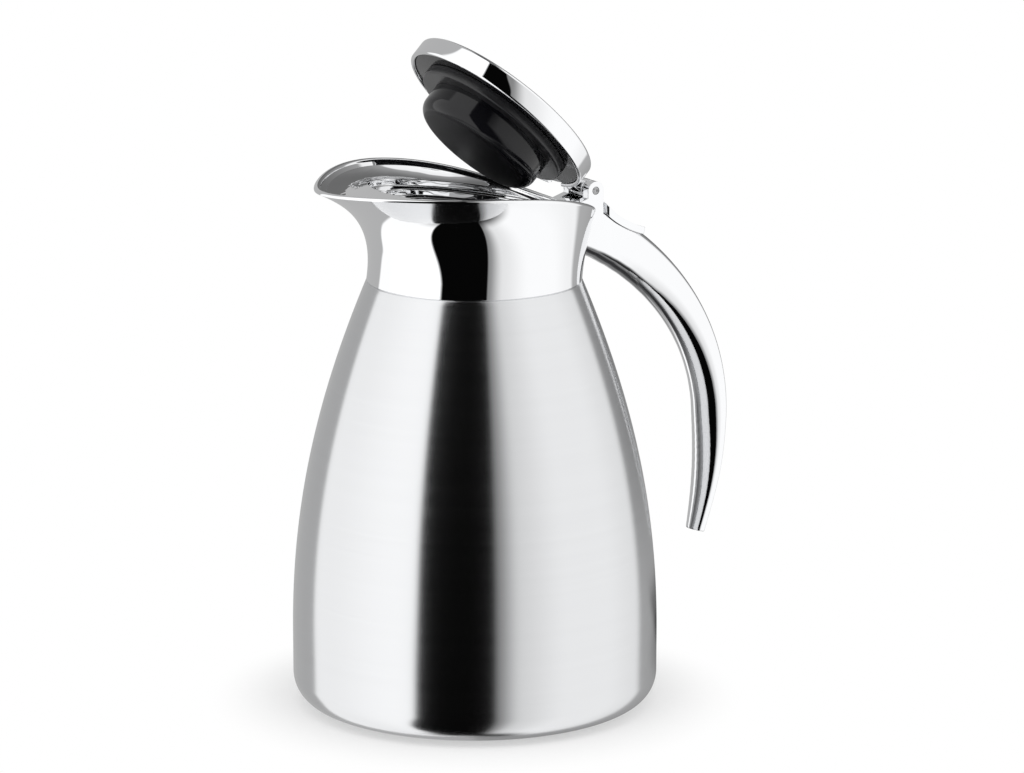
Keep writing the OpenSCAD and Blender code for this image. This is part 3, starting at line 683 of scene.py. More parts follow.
def floor_white(finish):
    """White to the camera but for the carafe's shadow, and clear to reflections but for painted
    shade: dark patches below and behind the handle, seen only in reflections, which paint
    shade on the handle's inner face."""
    material, nodes, shader = new_material("floor_white")
    place, (x, y, _) = object_axes(nodes)
    cloud = noise(nodes, place, 3.0, 2.0)
    toned(nodes, shader, cloud, finish.floor, 0.97, 1.0)
    shader.inputs["Roughness"].default_value = 0.9
    shader.inputs["Specular IOR Level"].default_value = 0.0
    lit = Value(nodes.tree, shader.outputs[0])
    white = nodes.add("ShaderNodeEmission")
    clear = nodes.add("ShaderNodeBsdfTransparent")
    # Painted shade: a near-black floor colour that only reflections see.
    dark = nodes.add("ShaderNodeBsdfDiffuse", Color=(0.02, 0.02, 0.022, 1.0))
    camera_ray = nodes.add("ShaderNodeLightPath", output="Is Camera Ray")
    glossy_ray = nodes.add("ShaderNodeLightPath", output="Is Glossy Ray")

    # Distances in metres, from the axis and from a place below and a little behind the handle.
    radius = (x * x + y * y).math("SQRT")
    whiteness = 0.45 + radius.step(0.058, 0.1) * 0.55
    handle_x, handle_y = x - 0.09, y - 0.033
    from_handle = (handle_x * handle_x + handle_y * handle_y).math("SQRT")
    # Painted shade: masks of the dark patches under and behind the handle, which only reflections see.
    below = 0.35 - from_handle.step(0.03, 0.07) * 0.35
    behind = x.step(0.02, 0.05) * y.step(0, 0.035) * (1 - radius.step(0.17, 0.24))

    seen = shader_mix(nodes, camera_ray * whiteness, lit, white)
    mirrored = shader_mix(nodes, glossy_ray, seen, clear)
    # Reflections see the painted shade patches as near-black floor.
    surface = shader_mix(nodes, glossy_ray * (below + behind * 0.6), mirrored, dark)
    connect(nodes.tree, surface, nodes.tree.nodes["Material Output"].inputs["Surface"])
    return material


# ---- Turned pieces -----------------------------------------------------------------------


def new_group(name, inputs):
    """A geometry node group with its Nodes and the values of its inputs, given as name: kind."""
    tree = bpy.data.node_groups.new(name, "GeometryNodeTree")
    for label, kind in inputs.items():
        tree.interface.new_socket(label, in_out="INPUT", socket_type="NodeSocket" + kind)
    tree.interface.new_socket("Geometry", in_out="OUTPUT", socket_type="NodeSocketGeometry")
    nodes = Nodes(tree)
    sockets = nodes.add("NodeGroupInput").socket.node.outputs
    return tree, nodes, [Value(tree, s) for s in sockets[: len(inputs)]]


def send_out(nodes, geometry, material):
    """Ends a node group: its geometry goes out as real meshes of a material."""
    real = nodes.add("GeometryNodeRealizeInstances", Geometry=geometry)
    made = nodes.add("GeometryNodeSetMaterial", Geometry=real, Material=material)
    nodes.add("NodeGroupOutput", Geometry=made)


def turning_tree():
    """A node group that turns a profile of points (radius, 0, height) about the Z axis."""
    name = "Turned Piece"
    if name in bpy.data.node_groups:
        return bpy.data.node_groups[name]
    inputs = {"Profile": "Geometry", "Segments": "Int", "Finish": "Material"}
    tree, nodes, (profile, segments, finish) = new_group(name, inputs)
    count = nodes.add("GeometryNodeAttributeDomainSize", Geometry=profile)
    columns = segments + 1
    grid = nodes.add(
        "GeometryNodeMeshGrid", Size_X=1.0, Size_Y=1.0, Vertices_X=count, Vertices_Y=columns
    )
    index = nodes.add("GeometryNodeInputIndex")
    nudge = 0.0001  # keeps a whole quotient from being floored to the number below
    row = (index / columns + nudge).math("FLOOR")
    turn = (index - row * columns) * TURN / segments
    point = nodes.add(
        "GeometryNodeSampleIndex",
        settings={"data_type": "FLOAT_VECTOR"},
        Geometry=profile,
        Value=nodes.add("GeometryNodeInputPosition"),
        Index=row,
    )
    split = nodes.add("ShaderNodeSeparateXYZ", Vector=point)
    radius, _, height = (Value(tree, s) for s in split.socket.node.outputs)
    across, along = radius * turn.math("COSINE"), radius * turn.math("SINE")
    turned_point = nodes.add("ShaderNodeCombineXYZ", X=across, Y=along, Z=height)
    skin = nodes.add("GeometryNodeSetPosition", Geometry=grid, Position=turned_point)
    welded = nodes.add("GeometryNodeMergeByDistance", Geometry=skin, Distance=WELD * 10)
    send_out(nodes, welded, finish)
    return tree


def use_tree(piece, tree, **inputs):
    """Runs a node group on a piece and keeps the result as its mesh."""
    modifier = piece.modifiers.new(tree.name, "NODES")
    modifier.node_group = tree
    for item in tree.interface.items_tree:
        if item.item_type == "SOCKET" and item.in_out == "INPUT" and item.name in inputs:
            modifier[item.identifier] = inputs[item.name]
    return baked(piece)


def turned(name, profile, segments, material, matrix=None):
    """A piece turned from a closed outline of (radius, height) points."""
    piece = raw_object(name, [(r, 0, z) for r, z in [*profile, profile[0]]])
    use_tree(piece, turning_tree(), Segments=segments, Finish=material)
    cleaned(piece.data)
    if matrix:
        piece.data.transform(matrix)
    shaded(piece)
    return piece


def washer_tree():
    """A node group that sets a flat ring on every point of its input."""
    radii = {"Outer Radius": "Float", "Inner Radius": "Float"}
    inputs = {"Places": "Geometry", **radii, "Thickness": "Float", "Finish": "Material"}
    tree, nodes, values = new_group("Washers", inputs)
    places, outer, inner, thickness, finish = values
    path = nodes.add("GeometryNodeCurvePrimitiveCircle", Resolution=64, Radius=(outer + inner) / 2)
    section = nodes.add(
        "GeometryNodeCurvePrimitiveQuadrilateral", Width=outer - inner, Height=thickness
    )
    section = nodes.add(
        "GeometryNodeFilletCurve",
        settings={"mode": "POLY"},
        Curve=section,
        Count=2,
        Radius=thickness * 0.3,
    )
    ring = nodes.add("GeometryNodeCurveToMesh", Curve=path, Profile_Curve=section)
    on_edge = nodes.add("FunctionNodeInputVector", settings={"vector": (math.pi / 2, 0, 0)})
    set_down = nodes.add(
        "GeometryNodeInstanceOnPoints", Points=places, Instance=ring, Rotation=on_edge
    )
    send_out(nodes, set_down, finish)
    return tree


# ---- Body --------------------------------------------------------------------------------


def bell_path(body, count=72):
    """Outer face of the shell, from the underside up to the seam."""
    corner = quarter(
        (body.base_radius, body.lift + body.corner_height),
        body.radius - body.base_radius,
        body.corner_height,
        20,
    )
    bell = bezier(
        [
            (body.radius, body.belly_height),
            (body.radius, body.belly_height + body.belly_pull),
            (
                body.seam_radius + body.lean_pull * math.sin(body.lean),
                body.seam_height - body.lean_pull * math.cos(body.lean),
            ),
            (body.seam_radius, body.seam_height),
        ],
        count,
    )
    return joined(corner, bell)


def foot_radius(body):
    """Outer radius of the foot ring, which the shell's hem holds."""
    return body.base_radius - 2 * MM


class CARAFE_OT_body(Operator):
    """Turns the brushed bell body from its profile"""

    bl_idname = "carafe.body"
    bl_label = "Bell Body"

    def execute(self, context):
        body = context.scene.carafe_body
        foot, foot_top = foot_radius(body), body.foot_height
        hem_top = foot_top + 3 * MM
        outside = bell_path(body)
        inside = shifted(outside, body.wall)
        floor, ceiling = body.lift + body.wall, body.seam_height - body.wall
        inside = inside[(inside[:, 1] < ceiling) & (inside[:, 1] > floor)]
        profile = joined(
            (foot, body.lift),
            outside,
            (body.neck_radius, body.seam_height),
            (body.neck_radius, body.neck_top),
            (body.neck_radius - body.wall, body.neck_top),
            (body.neck_radius - body.wall, ceiling),
            inside[::-1],
            (foot + body.wall, floor),
            (foot + body.wall, hem_top),
            (foot - body.wall, hem_top),
            (foot - body.wall, foot_top),
            (foot, foot_top),
        )
        profile = rounded(profile, {0: 0.4 * MM, len(outside): 0.3 * MM})
        material = brushed_steel(context.scene.carafe_finish)
        piece = turned("shell", profile, body.segments, material)
        placed(piece, material, "jug", "brushed_steel", "outer_shell")
        return {"FINISHED"}


class CARAFE_OT_base(Operator):
    """Makes the foot ring and the dished base plate"""

    bl_idname = "carafe.base"
    bl_label = "Base"

    def execute(self, context):
        body, finish = context.scene.carafe_body, context.scene.carafe_finish
        outer, top = foot_radius(body), body.foot_height
        inner = outer - body.foot_width
        ring = joined((inner, 0), (outer, 0), (outer, top), (inner, top))
        ring = rounded(ring, {0: 0.8 * MM, 1: 0.5 * MM})
        rubber = silicone(finish, "foot_rubber", 0.6)
        piece = turned("foot", ring, body.segments, rubber)
        placed(piece, rubber, "jug", "rubber_black", "foot_ring")

        edge, hole = outer - body.wall, 3 * MM
        low = top + 0.6 * MM
        high = low + body.plate_dish
        dish = bezier([(edge, low), (edge - 8 * MM, low), (edge - 10 * MM, high), (14 * MM, high)], 24)
        upper = dish + [0, body.plate_thickness]
        plate = joined(dish, (hole, high), (hole, high + body.plate_thickness), upper[::-1])
        steel = inner_steel(finish, "base_steel")
        piece = turned("underside_plate", plate, body.segments, steel)
        placed(piece, steel, "jug", "brushed_steel", "base_plate")
        paint_nodes(steel, "evacuation_cap")
        return {"FINISHED"}


class CARAFE_OT_vessel(Operator):
    """Finishes the inner vessel and what holds it and the collar"""

    bl_idname = "carafe.vessel"
    bl_label = "Inner Vessel"

    def execute(self, context):
        finish = context.scene.carafe_finish
        paint_nodes(inner_steel(finish, "inner_steel"), "inner_vessel", "inner_floor", "getter")
        paint_nodes(silicone(finish, "gasket_rubber", 0.4), "mouth_gasket", "lock_ring")
        return {"FINISHED"}


# ---- Collar ------------------------------------------------------------------------------


def frontness(u):
    """0 at the handle and 1 at the spout."""
    return ((1 - np.cos(u)) / 2) ** 0.8


def rim_plan(body, collar, u):
    """Plan of the rim's crest at an angle."""
    back = body.seam_radius + collar.flare
    half = back + collar.shift
    point = collar.reach - back - 2 * collar.shift
    front = np.maximum(0, -np.cos(u))
    x = half * np.cos(u) - collar.shift - point * front**3
    y = collar.rim_width / 2 * np.sin(u) * (1 - collar.nip * front**2)
    return np.stack([x, y], -1)


def rim_height(body, collar, x):
    """Height of the rim's crest over its length from the back to the tip."""
    back = body.seam_radius + collar.flare
    run = back + collar.reach
    w = (back - x) / run
    climb = run * math.tan(collar.back_rise)
    dip = -run * math.tan(collar.tip_dip)
    return (
        collar.rim_back * (1 + 2 * w) * (1 - w) ** 2
        + climb * w * (1 - w) ** 2
        + collar.rim_tip * w * w * (3 - 2 * w)
        + dip * w * w * (w - 1)
    )


def rim_out(body, collar, u):
    """Outward direction of the rim's plan."""
    step = math.radians(1)
    run = rim_plan(body, collar, u + step) - rim_plan(body, collar, u - step)
    out = np.stack([run[..., 1], -run[..., 0]], -1)
    return out / np.linalg.norm(out, axis=-1)[..., None]


def wall_ring(body, collar, u, s, inset):
    """A ring of the collar's wall: s is 0 at the seam and 1 at the rim."""
    lip = collar.wall / 2
    s = np.broadcast_to(s, u.shape)
    top = rim_plan(body, collar, u)
    top_z = rim_height(body, collar, top[:, 0]) - lip
    out = rim_out(body, collar, u)
    grow = (s ** (1 + (collar.curl - 1) * frontness(u)))[:, None]
    around = np.stack([np.cos(u), np.sin(u)], 1)
    peak = 27 / 4  # brings the greatest value of s (1 - s)^2 to 1
    draw = collar.throat * frontness(u) * peak * s * (1 - s) ** 2
    side = (1 - grow) * around + grow * out
    side /= np.linalg.norm(side, axis=1)[:, None]
    plan = (1 - grow) * body.seam_radius * around + grow * (top + lip * out)
    plan = plan - (draw + inset)[:, None] * side
    return np.column_stack([plan, body.seam_height + (top_z - body.seam_height) * s])


def lip_ring(body, collar, u, turn):
    """A ring of the rounded lip."""
    lip = collar.wall / 2
    top = rim_plan(body, collar, u)
    z = rim_height(body, collar, top[:, 0]) - lip
    plan = top + lip * math.cos(turn) * rim_out(body, collar, u)
    return np.column_stack([plan, z + lip * math.sin(turn)])


class CARAFE_OT_collar(Operator):
    """Lofts the polished collar with its flared spout and rolled rim"""

    bl_idname = "carafe.collar"
    bl_label = "Spout Collar"

    def execute(self, context):
        body, collar = context.scene.carafe_body, context.scene.carafe_collar
        u = np.linspace(0, TURN, collar.segments, endpoint=False)
        flush = np.zeros_like(u)
        chamfer, chamfer_top = 0.3 * MM, 0.012
        heights = np.linspace(chamfer_top, 1, 84)
        turns = np.linspace(0, math.pi, 17)[1:-1]
        rings = [
            wall_ring(body, collar, u, 0, flush + chamfer),
            *(wall_ring(body, collar, u, s, flush) for s in heights),
            *(lip_ring(body, collar, u, turn) for turn in turns),
            *(wall_ring(body, collar, u, s, flush + collar.wall) for s in np.linspace(1, 0, 40)),
        ]
        piece = lofted("collar", rings)
        shaded(piece)
        material = polished_steel(context.scene.carafe_finish, "collar_polish")
        placed(piece, material, "jug", "chrome", "spout_collar")
        return {"FINISHED"}


class CARAFE_OT_funnel(Operator):
    """Lofts the pouring surface inside the collar, with the lid's seat and the bore"""

    bl_idname = "carafe.funnel"
    bl_label = "Pour Funnel"

    def execute(self, context):
        body, collar = context.scene.carafe_body, context.scene.carafe_collar
        lid = context.scene.carafe_lid
        u = np.linspace(0, TURN, collar.segments, endpoint=False)
        inset = np.full_like(u, collar.wall + collar.fit)
        top_z = rim_height(body, collar, rim_plan(body, collar, u)[:, 0]) - collar.wall / 2
        low = (collar.foot - body.seam_height) / (top_z - body.seam_height)
        high = 0.97  # just under the rolled lip
        parts = np.linspace(0, 1, 24)
        wall = [wall_ring(body, collar, u, low + (high - low) * k, inset) for k in parts]
        closed = lid_matrix(lid, lid.closed_tilt)

        def lid_ring(radius, height):
            return moved(level_ring(u, radius, height), closed)

        recess_radius = lid.radius + lid.gap
        level = lid_ring(recess_radius, 0)[:, 2]
        limit = (wall[-1][:, 2] - 0.3 * MM - level) / math.cos(lid.closed_tilt)
        edge = lid_ring(recess_radius, np.minimum(lid.recess, limit))
        scoop, depth = [], 1.2 * MM
        for w in np.linspace(0, 1, 14)[1:-1]:
            sag = depth * 4 * w * (1 - w) * frontness(u)
            scoop.append((1 - w) * wall[-1] + w * edge - np.outer(sag, [0, 0, 1]))
        seat = lid.seal_thickness + 0.2 * MM
        seat_radius = lid.seal_radius + 1 * MM
        spigot_inner = collar.spigot_radius - collar.spigot_wall
        spigot_foot = collar.seat_height - collar.spigot_depth
        neck = body.neck_radius + 0.3 * MM
        rest = [
            lid_ring(recess_radius, -lid.ledge),
            lid_ring(seat_radius, -lid.ledge),
            lid_ring(seat_radius, -seat),
            lid_ring(lid.bore_radius, -seat),
            lid_ring(lid.bore_radius, -8 * MM),
            level_ring(u, spigot_inner, spigot_foot + 4 * MM),
            level_ring(u, spigot_inner, spigot_foot),
            level_ring(u, collar.spigot_radius, spigot_foot),
            level_ring(u, collar.spigot_radius, collar.seat_height),
            level_ring(u, neck, collar.seat_height),
            level_ring(u, neck, collar.foot),
        ]
        rings = wall + scoop + [edge] + rest
        first = len(wall) + len(scoop)
        soft = {first: 0.5, first + 1: 0.5, first + 2: 0.6, first + 3: 0.5, first + 4: 0.8}
        soft |= {first + 7: 0.5, first + 8: 0.5, len(wall) - 1: 0.4}
        piece = lofted("funnel", rounded_rings(rings, {i: r * MM for i, r in soft.items()}))
        shaded(piece, 40)
        finish = context.scene.carafe_finish
        material = polished_steel(finish, "funnel_polish", wave=0.35 * MM, ripple=0.7)
        placed(piece, material, "jug", "chrome", "pour_funnel")
        return {"FINISHED"}


# ---- Handle ------------------------------------------------------------------------------


ROOT_RISE = 12 * MM  # from the seam up to the start of the handle's crease


def crease_path(body, handle, count=64):
    """Lower edge of the handle's side face, from the collar to the lower end."""
    root = np.array([body.seam_radius, body.seam_height + ROOT_RISE])
    bow = np.array([body.seam_radius + handle.reach, handle.bow_height])
    tip = bow + [-handle.tip_in, handle.tip_height - handle.bow_height]
    pulls = np.array([[34.6, -8.6], [0, 38.3], [0, -17.2], [4.2, 16.4]]) * MM
    upper = bezier([root, root + pulls[0], bow + pulls[1], bow], count)
    lower = bezier([bow, bow + pulls[2], tip + pulls[3], tip], count)
    return joined(upper, lower[1:])


def handle_section(handle, w, count=28):
    """One section: across the handle, and out from the crease."""
    narrowing = max(0, 2 * w - 1) ** 1.7  # over the lower half
    thickening = max(0, 1 - w / 0.55) ** 1.6  # over the upper half
    half = handle.width / 2 - (handle.width - handle.tip_width) / 2 * narrowing
    side = handle.side + handle.side_root * thickening
    crown = handle.crown_tip + (handle.crown - handle.crown_tip) * (1 - w) ** 2
    depths = bezier([[0.57], [1.57], [0.53], [0.35]], 101)
    belly = handle.belly * depths[round(w * 100)][0]
    top = np.linspace(0, math.pi, count)
    low = np.linspace(math.pi, TURN, count + 8)
    power = 2 / handle.fullness

    def oval(v):
        return np.sign(v) * np.abs(v) ** power

    upper = np.stack([half * np.cos(top), side + crown * np.sin(top)], 1)
    lower = np.stack([half * oval(np.cos(low)), belly * oval(np.sin(low))], 1)
    return joined(upper, lower)


def handle_rings(body, handle):
    """The handle's sections along its curve, the last ones drawn in at the lower end."""
    path = crease_path(body, handle)
    rings = []
    for i, (point, out) in enumerate(zip(path, -normals(path))):
        section = handle_section(handle, i / (len(path) - 1))
        place = point + section[:, 1:] * out
        rings.append(np.column_stack([place[:, 0], section[:, 0], place[:, 1]]))
    tip = rings.pop()
    middle = tip.mean(0)
    run = np.append(path[-1] - path[-2], 0)[[0, 2, 1]]
    run /= np.linalg.norm(run)
    return [*rings, tip - run * 0.1 * MM, middle + (tip - middle) * 0.93 + run * 0.3 * MM]


def root_outline(body, handle):
    """The handle's root and ears in the side view."""
    x, z = HINGE.x, HINGE.z
    ear = handle.ear_radius
    crease = body.seam_height + ROOT_RISE
    inner, outer = body.seam_radius - 1 * MM, x + 9.5 * MM
    return joined(
        (inner, crease - 0.6 * MM),
        (inner, z - 4.5 * MM),
        (x - ear, z - 2.6 * MM),
        arc(x, z, ear, 180, 0, 32),
        (x + ear, z - 9 * MM),
        (outer, z - 13.6 * MM),
        (outer, crease - 1 * MM),
    )


def collar_cone(body, collar):
    """The cone of the collar at its back, which the handle's root is fitted to."""
    rise = collar.rim_back - body.seam_height
    slope = (collar.flare + collar.wall / 2) / (rise - collar.wall / 2)
    u = np.linspace(0, TURN, collar.segments, endpoint=False)
    foot = body.seam_radius + 0.075 * MM
    ends = [
        level_ring(u, foot - slope * MM, body.seam_height - 1 * MM),
        level_ring(u, foot + slope * (rise + 1 * MM), collar.rim_back + 1 * MM),
    ]
    return lofted("cone", ends, closed=False, capped=True)


def lever_line(handle, count=40):
    """Middle line of the thumb lever, from the hinge pin."""
    reach = handle.lever_reach
    points = [(2.2, -2.8), (4.6, -8.8), (0.54 * reach / MM, -14.2), (reach / MM, -17.3)]
    return bezier(np.array(points) * MM, count) + [HINGE.x, HINGE.z]


class CARAFE_OT_handle(Operator):
    """Sweeps the handle along its curve and joins the root and the hinge's ears to it"""

    bl_idname = "carafe.handle"
    bl_label = "Handle"

    def execute(self, context):
        body, collar = context.scene.carafe_body, context.scene.carafe_collar
        handle = context.scene.carafe_handle
        grip = lofted("grip", handle_rings(body, handle), closed=False, capped=True)
        combined(grip, prism("root", root_outline(body, handle), handle.width), "UNION")
        combined(grip, collar_cone(body, collar), "DIFFERENCE")

        x, z = HINGE.x, HINGE.z
        through = handle.width + 2 * MM
        low = shifted(lever_line(handle), -handle.lever_thickness / 2 - handle.clearance)
        start = x + handle.ear_radius + 0.1 * MM
        end = x + handle.lever_reach + 0.8 * MM
        bed = joined(
            (start, z + 8 * MM),
            (start, np.interp(start, low[:, 0], low[:, 1])),
            low[low[:, 0] > start],
            (end, z - 18 * MM),
            (end, z + 8 * MM),
        )
        combined(grip, prism("bed", bed, through), "DIFFERENCE")

        # The slot's floor follows the lever's underside, so that the lever clears it when open.
        slot_half = handle.knuckle_width / 2 + handle.washer + 0.1 * MM
        hollow = handle.knuckle_radius + handle.clearance
        start = body.seam_radius + collar.flare - 2 * MM
        end = x + 8 * MM
        slot = joined(
            (start, z + 10 * MM),
            (start, z - hollow),
            arc(x, z, hollow, 270, 287, 6),
            low[(low[:, 0] > x + 1.25 * MM) & (low[:, 0] < end)],
            (end, z + 10 * MM),
        )
        combined(grip, prism("slot", slot, 2 * slot_half), "DIFFERENCE")
        combined(grip, rod("bore", x, z, handle.pin_radius, through), "DIFFERENCE")
        shaded(grip, 28)
        finish = context.scene.carafe_finish
        material = polished_steel(finish, "handle_polish", wave=0.04 * MM, bevel=0.35 * MM)
        placed(grip, material, "jug", "chrome", "handle")
        return {"FINISHED"}


class CARAFE_OT_hinge(Operator):
    """Makes the hinge pin and sets a spring washer at each side of the knuckle"""

    bl_idname = "carafe.hinge"
    bl_label = "Hinge Pin and Washers"

    def execute(self, context):
        handle, finish = context.scene.carafe_handle, context.scene.carafe_finish
        steel = dull_steel(finish)
        end = [(0, -0.45), (0.5, -0.1), (0.55, -0.02), (0.78, 0), (1, -0.32)]
        end = np.array(end) * [handle.pin_radius, MM]
        half = [0, handle.width / 2]
        profile = joined(end * [1, -1] - half, (end + half)[::-1])
        across = Matrix.Translation(HINGE) @ Matrix.Rotation(math.pi / 2, 4, "X")
        piece = turned("pin", profile, 64, steel, across)
        placed(piece, steel, "jug", "screw_steel", "hinge_pin")

        side = handle.knuckle_width / 2 + 0.05 * MM + handle.washer / 2
        washers = raw_object("washers", [(HINGE.x, s * side, HINGE.z) for s in (-1, 1)])
        spring = inner_steel(finish, "washer_steel")
        sizes = {
            "Outer Radius": handle.ear_radius - 0.3 * MM,
            "Inner Radius": handle.pin_radius + 0.05 * MM,
            "Thickness": handle.washer,
        }
        use_tree(washers, washer_tree(), Finish=spring, **sizes)
        shaded(washers)
        placed(washers, spring, "jug", "screw_steel", "hinge_washers")
        paint_nodes(spring, "handle_screws", "stopper_screw", "lever_screws")
        return {"FINISHED"}


# ---- Lid ---------------------------------------------------------------------------------


class CARAFE_OT_lid(Operator):
    """Turns the polished cap and the black plate in its underside"""

    bl_idname = "carafe.lid"
    bl_label = "Lid"

    def execute(self, context):
        body, lid = context.scene.carafe_body, context.scene.carafe_lid
        handle, finish = context.scene.carafe_handle, context.scene.carafe_finish
        opened = lid_matrix(lid, lid.open_tilt)
        edge, bead = 1.2 * MM, 0.8 * MM
        w = np.linspace(0, 1, 40)
        dome = np.stack([(lid.radius - edge) * w, lid.band + lid.dome * (1 - w * w)], 1)
        shoulder = arc(lid.radius - edge, lid.band - edge, edge, 75, 0, 10)
        hem = arc(lid.radius - bead, bead, bead, 0, -180, 14)
        inside = joined(
            (lid.radius - 2 * bead, 5.2 * MM),
            (lid.radius - lid.wall - 0.6 * MM, lid.band - lid.wall - 0.2 * MM),
            (dome * (1 - 2 * bead / lid.radius) - [0, lid.wall])[-2::-1],
        )
        material = polished_steel(finish, "lid_polish")
        cap = turned("cap", joined(dome, shoulder, hem, inside), body.segments, material)
        near, far = lid.radius - 5 * MM, lid.radius + 3 * MM
        low, high = -1 * MM, handle.tongue_height + handle.lever_arm + 0.5 * MM
        notch = prism(
            "notch",
            joined((near, low), (far, low), (far, high), (near, high)),
            2 * (handle.arm_width / 2 + handle.clearance),
        )
        combined(cap, notch, "DIFFERENCE")
        cap.data.transform(opened)
        shaded(cap)
        placed(cap, material, "lid", "chrome", "lid_cap")

        outer, inner = lid.plate_radius, lid.plate_radius - 1.6 * MM
        low, rim = lid.plate_rise, 5 * MM
        top = low + lid.plate_thickness
        plate = joined((0, low), (outer, low), (outer, rim), (inner, rim), (inner, top), (0, top))
        black = glossy_black(finish, "glossy_black")
        plate = rounded(plate, {1: 0.5 * MM, 2: 0.3 * MM})
        piece = turned("plate", plate, body.segments, black, opened)
        placed(piece, black, "lid", "gloss_black", "lid_plate")
        return {"FINISHED"}


class CARAFE_OT_stopper(Operator):
    """Turns the stopper bowl and its seal"""

    bl_idname = "carafe.stopper"
    bl_label = "Stopper"

    def execute(self, context):
        body, lid = context.scene.carafe_body, context.scene.carafe_lid
        finish = context.scene.carafe_finish
        opened = lid_matrix(lid, lid.open_tilt)

        def bowl(radius, depth, edge):
            w = np.linspace(0, 1, 16)
            under = np.stack([(radius - edge) * w, -depth - lid.bowl_dish * (1 - w * w)], 1)
            return joined(under[:-1], quarter((radius - edge, -depth + edge), edge, edge, 20))

        inner = lid.bowl_radius - lid.bowl_wall
        inner_edge = lid.bowl_edge - lid.bowl_wall + 0.6 * MM
        profile = joined(
            bowl(lid.bowl_radius, lid.bowl_depth, lid.bowl_edge),
            (lid.bowl_radius, lid.plate_rise),
            (inner, lid.plate_rise),
            bowl(inner, lid.bowl_depth - lid.bowl_wall, inner_edge)[::-1],
        )
        down = -opened.to_3x3().col[2]
        face = opened @ Vector((0, 0, -lid.bowl_depth + 0.7 * MM))
        black = glossy_black(finish, "bowl_black", (face.dot(down), down))
        piece = turned("bowl", profile, body.segments, black, opened)
        placed(piece, black, "lid", "gloss_black", "stopper_bowl")

        inner, outer = lid.bowl_radius + 0.05 * MM, lid.seal_radius
        low, high = -lid.seal_thickness, lid.plate_rise
        seal = joined((inner, low), (outer, low), (outer, high), (inner, high))
        rubber = silicone(finish, "seal_silicone", 0.3)
        seal = rounded(seal, {1: 0.9 * MM, 2: 0.5 * MM}, 8)
        piece = turned("seal", seal, body.segments, rubber, opened)
        placed(piece, rubber, "lid", "silicone_black", "stopper_seal")
        paint_nodes(foam(finish), "stopper_insulation")
        return {"FINISHED"}


class CARAFE_OT_lever(Operator):
    """Builds the thumb lever: pad, knuckle and the arm that holds the lid"""

    bl_idname = "carafe.lever"
    bl_label = "Thumb Lever"

    def execute(self, context):
        lid, handle = context.scene.carafe_lid, context.scene.carafe_handle
        x, z = HINGE.x, HINGE.z
        line = lever_line(handle)
        half = handle.lever_thickness / 2
        outline = joined(shifted(line, half), shifted(line, -half)[::-1])
        pad = prism("lever", outline, handle.width)
        neck = x + handle.ear_radius + 0.5 * MM
        end = x + handle.lever_reach + 2 * MM
        side, arm = handle.width / 2, handle.arm_width / 2
        corner = 3 * MM
        near = joined(
            (x - 1 * MM, -arm),
            (neck, -arm),
            (neck + 1.4 * MM, -side + 0.6 * MM),
            (neck + 2.2 * MM, -side),
            arc(end - corner, -side + corner, corner, -90, 0, 12),
        )
        plan = joined(near, (near * [1, -1])[::-1])
        faces = ([(px, py, h) for px, py in plan] for h in (z - 40 * MM, z + 10 * MM))
        combined(pad, slab("plan", *faces), "INTERSECT")
        combined(pad, rod("knuckle", x, z, handle.knuckle_radius, handle.knuckle_width), "UNION")
        low, top = handle.tongue_height, handle.tongue_height + handle.lever_arm
        pin_x, pin_z, knuckle = lid.hinge_out, lid.hinge_above, handle.knuckle_radius
        tongue = joined(
            (handle.tongue_start, low),
            (lid.radius, low),
            (pin_x - 0.4 * MM, pin_z - knuckle + 0.5 * MM),
            (pin_x - 0.6 * MM, pin_z + knuckle - 0.6 * MM),
            (lid.radius + 1.4 * MM, top),
            (handle.tongue_start, top),
        )
        arm_piece = prism("arm", tongue, handle.arm_width)
        arm_piece.data.transform(lid_matrix(lid, lid.open_tilt))
        combined(pad, arm_piece, "UNION")
        bore = rod("bore", x, z, handle.pin_radius + 0.05 * MM, handle.width)
        combined(pad, bore, "DIFFERENCE")
        shaded(pad, 28)
        finish = context.scene.carafe_finish
        material = polished_steel(finish, "lever_polish", wave=0.02 * MM, bevel=0.35 * MM)
        placed(pad, material, "lid", "chrome", "thumb_lever")
        return {"FINISHED"}


# ---- Stage -------------------------------------------------------------------------------


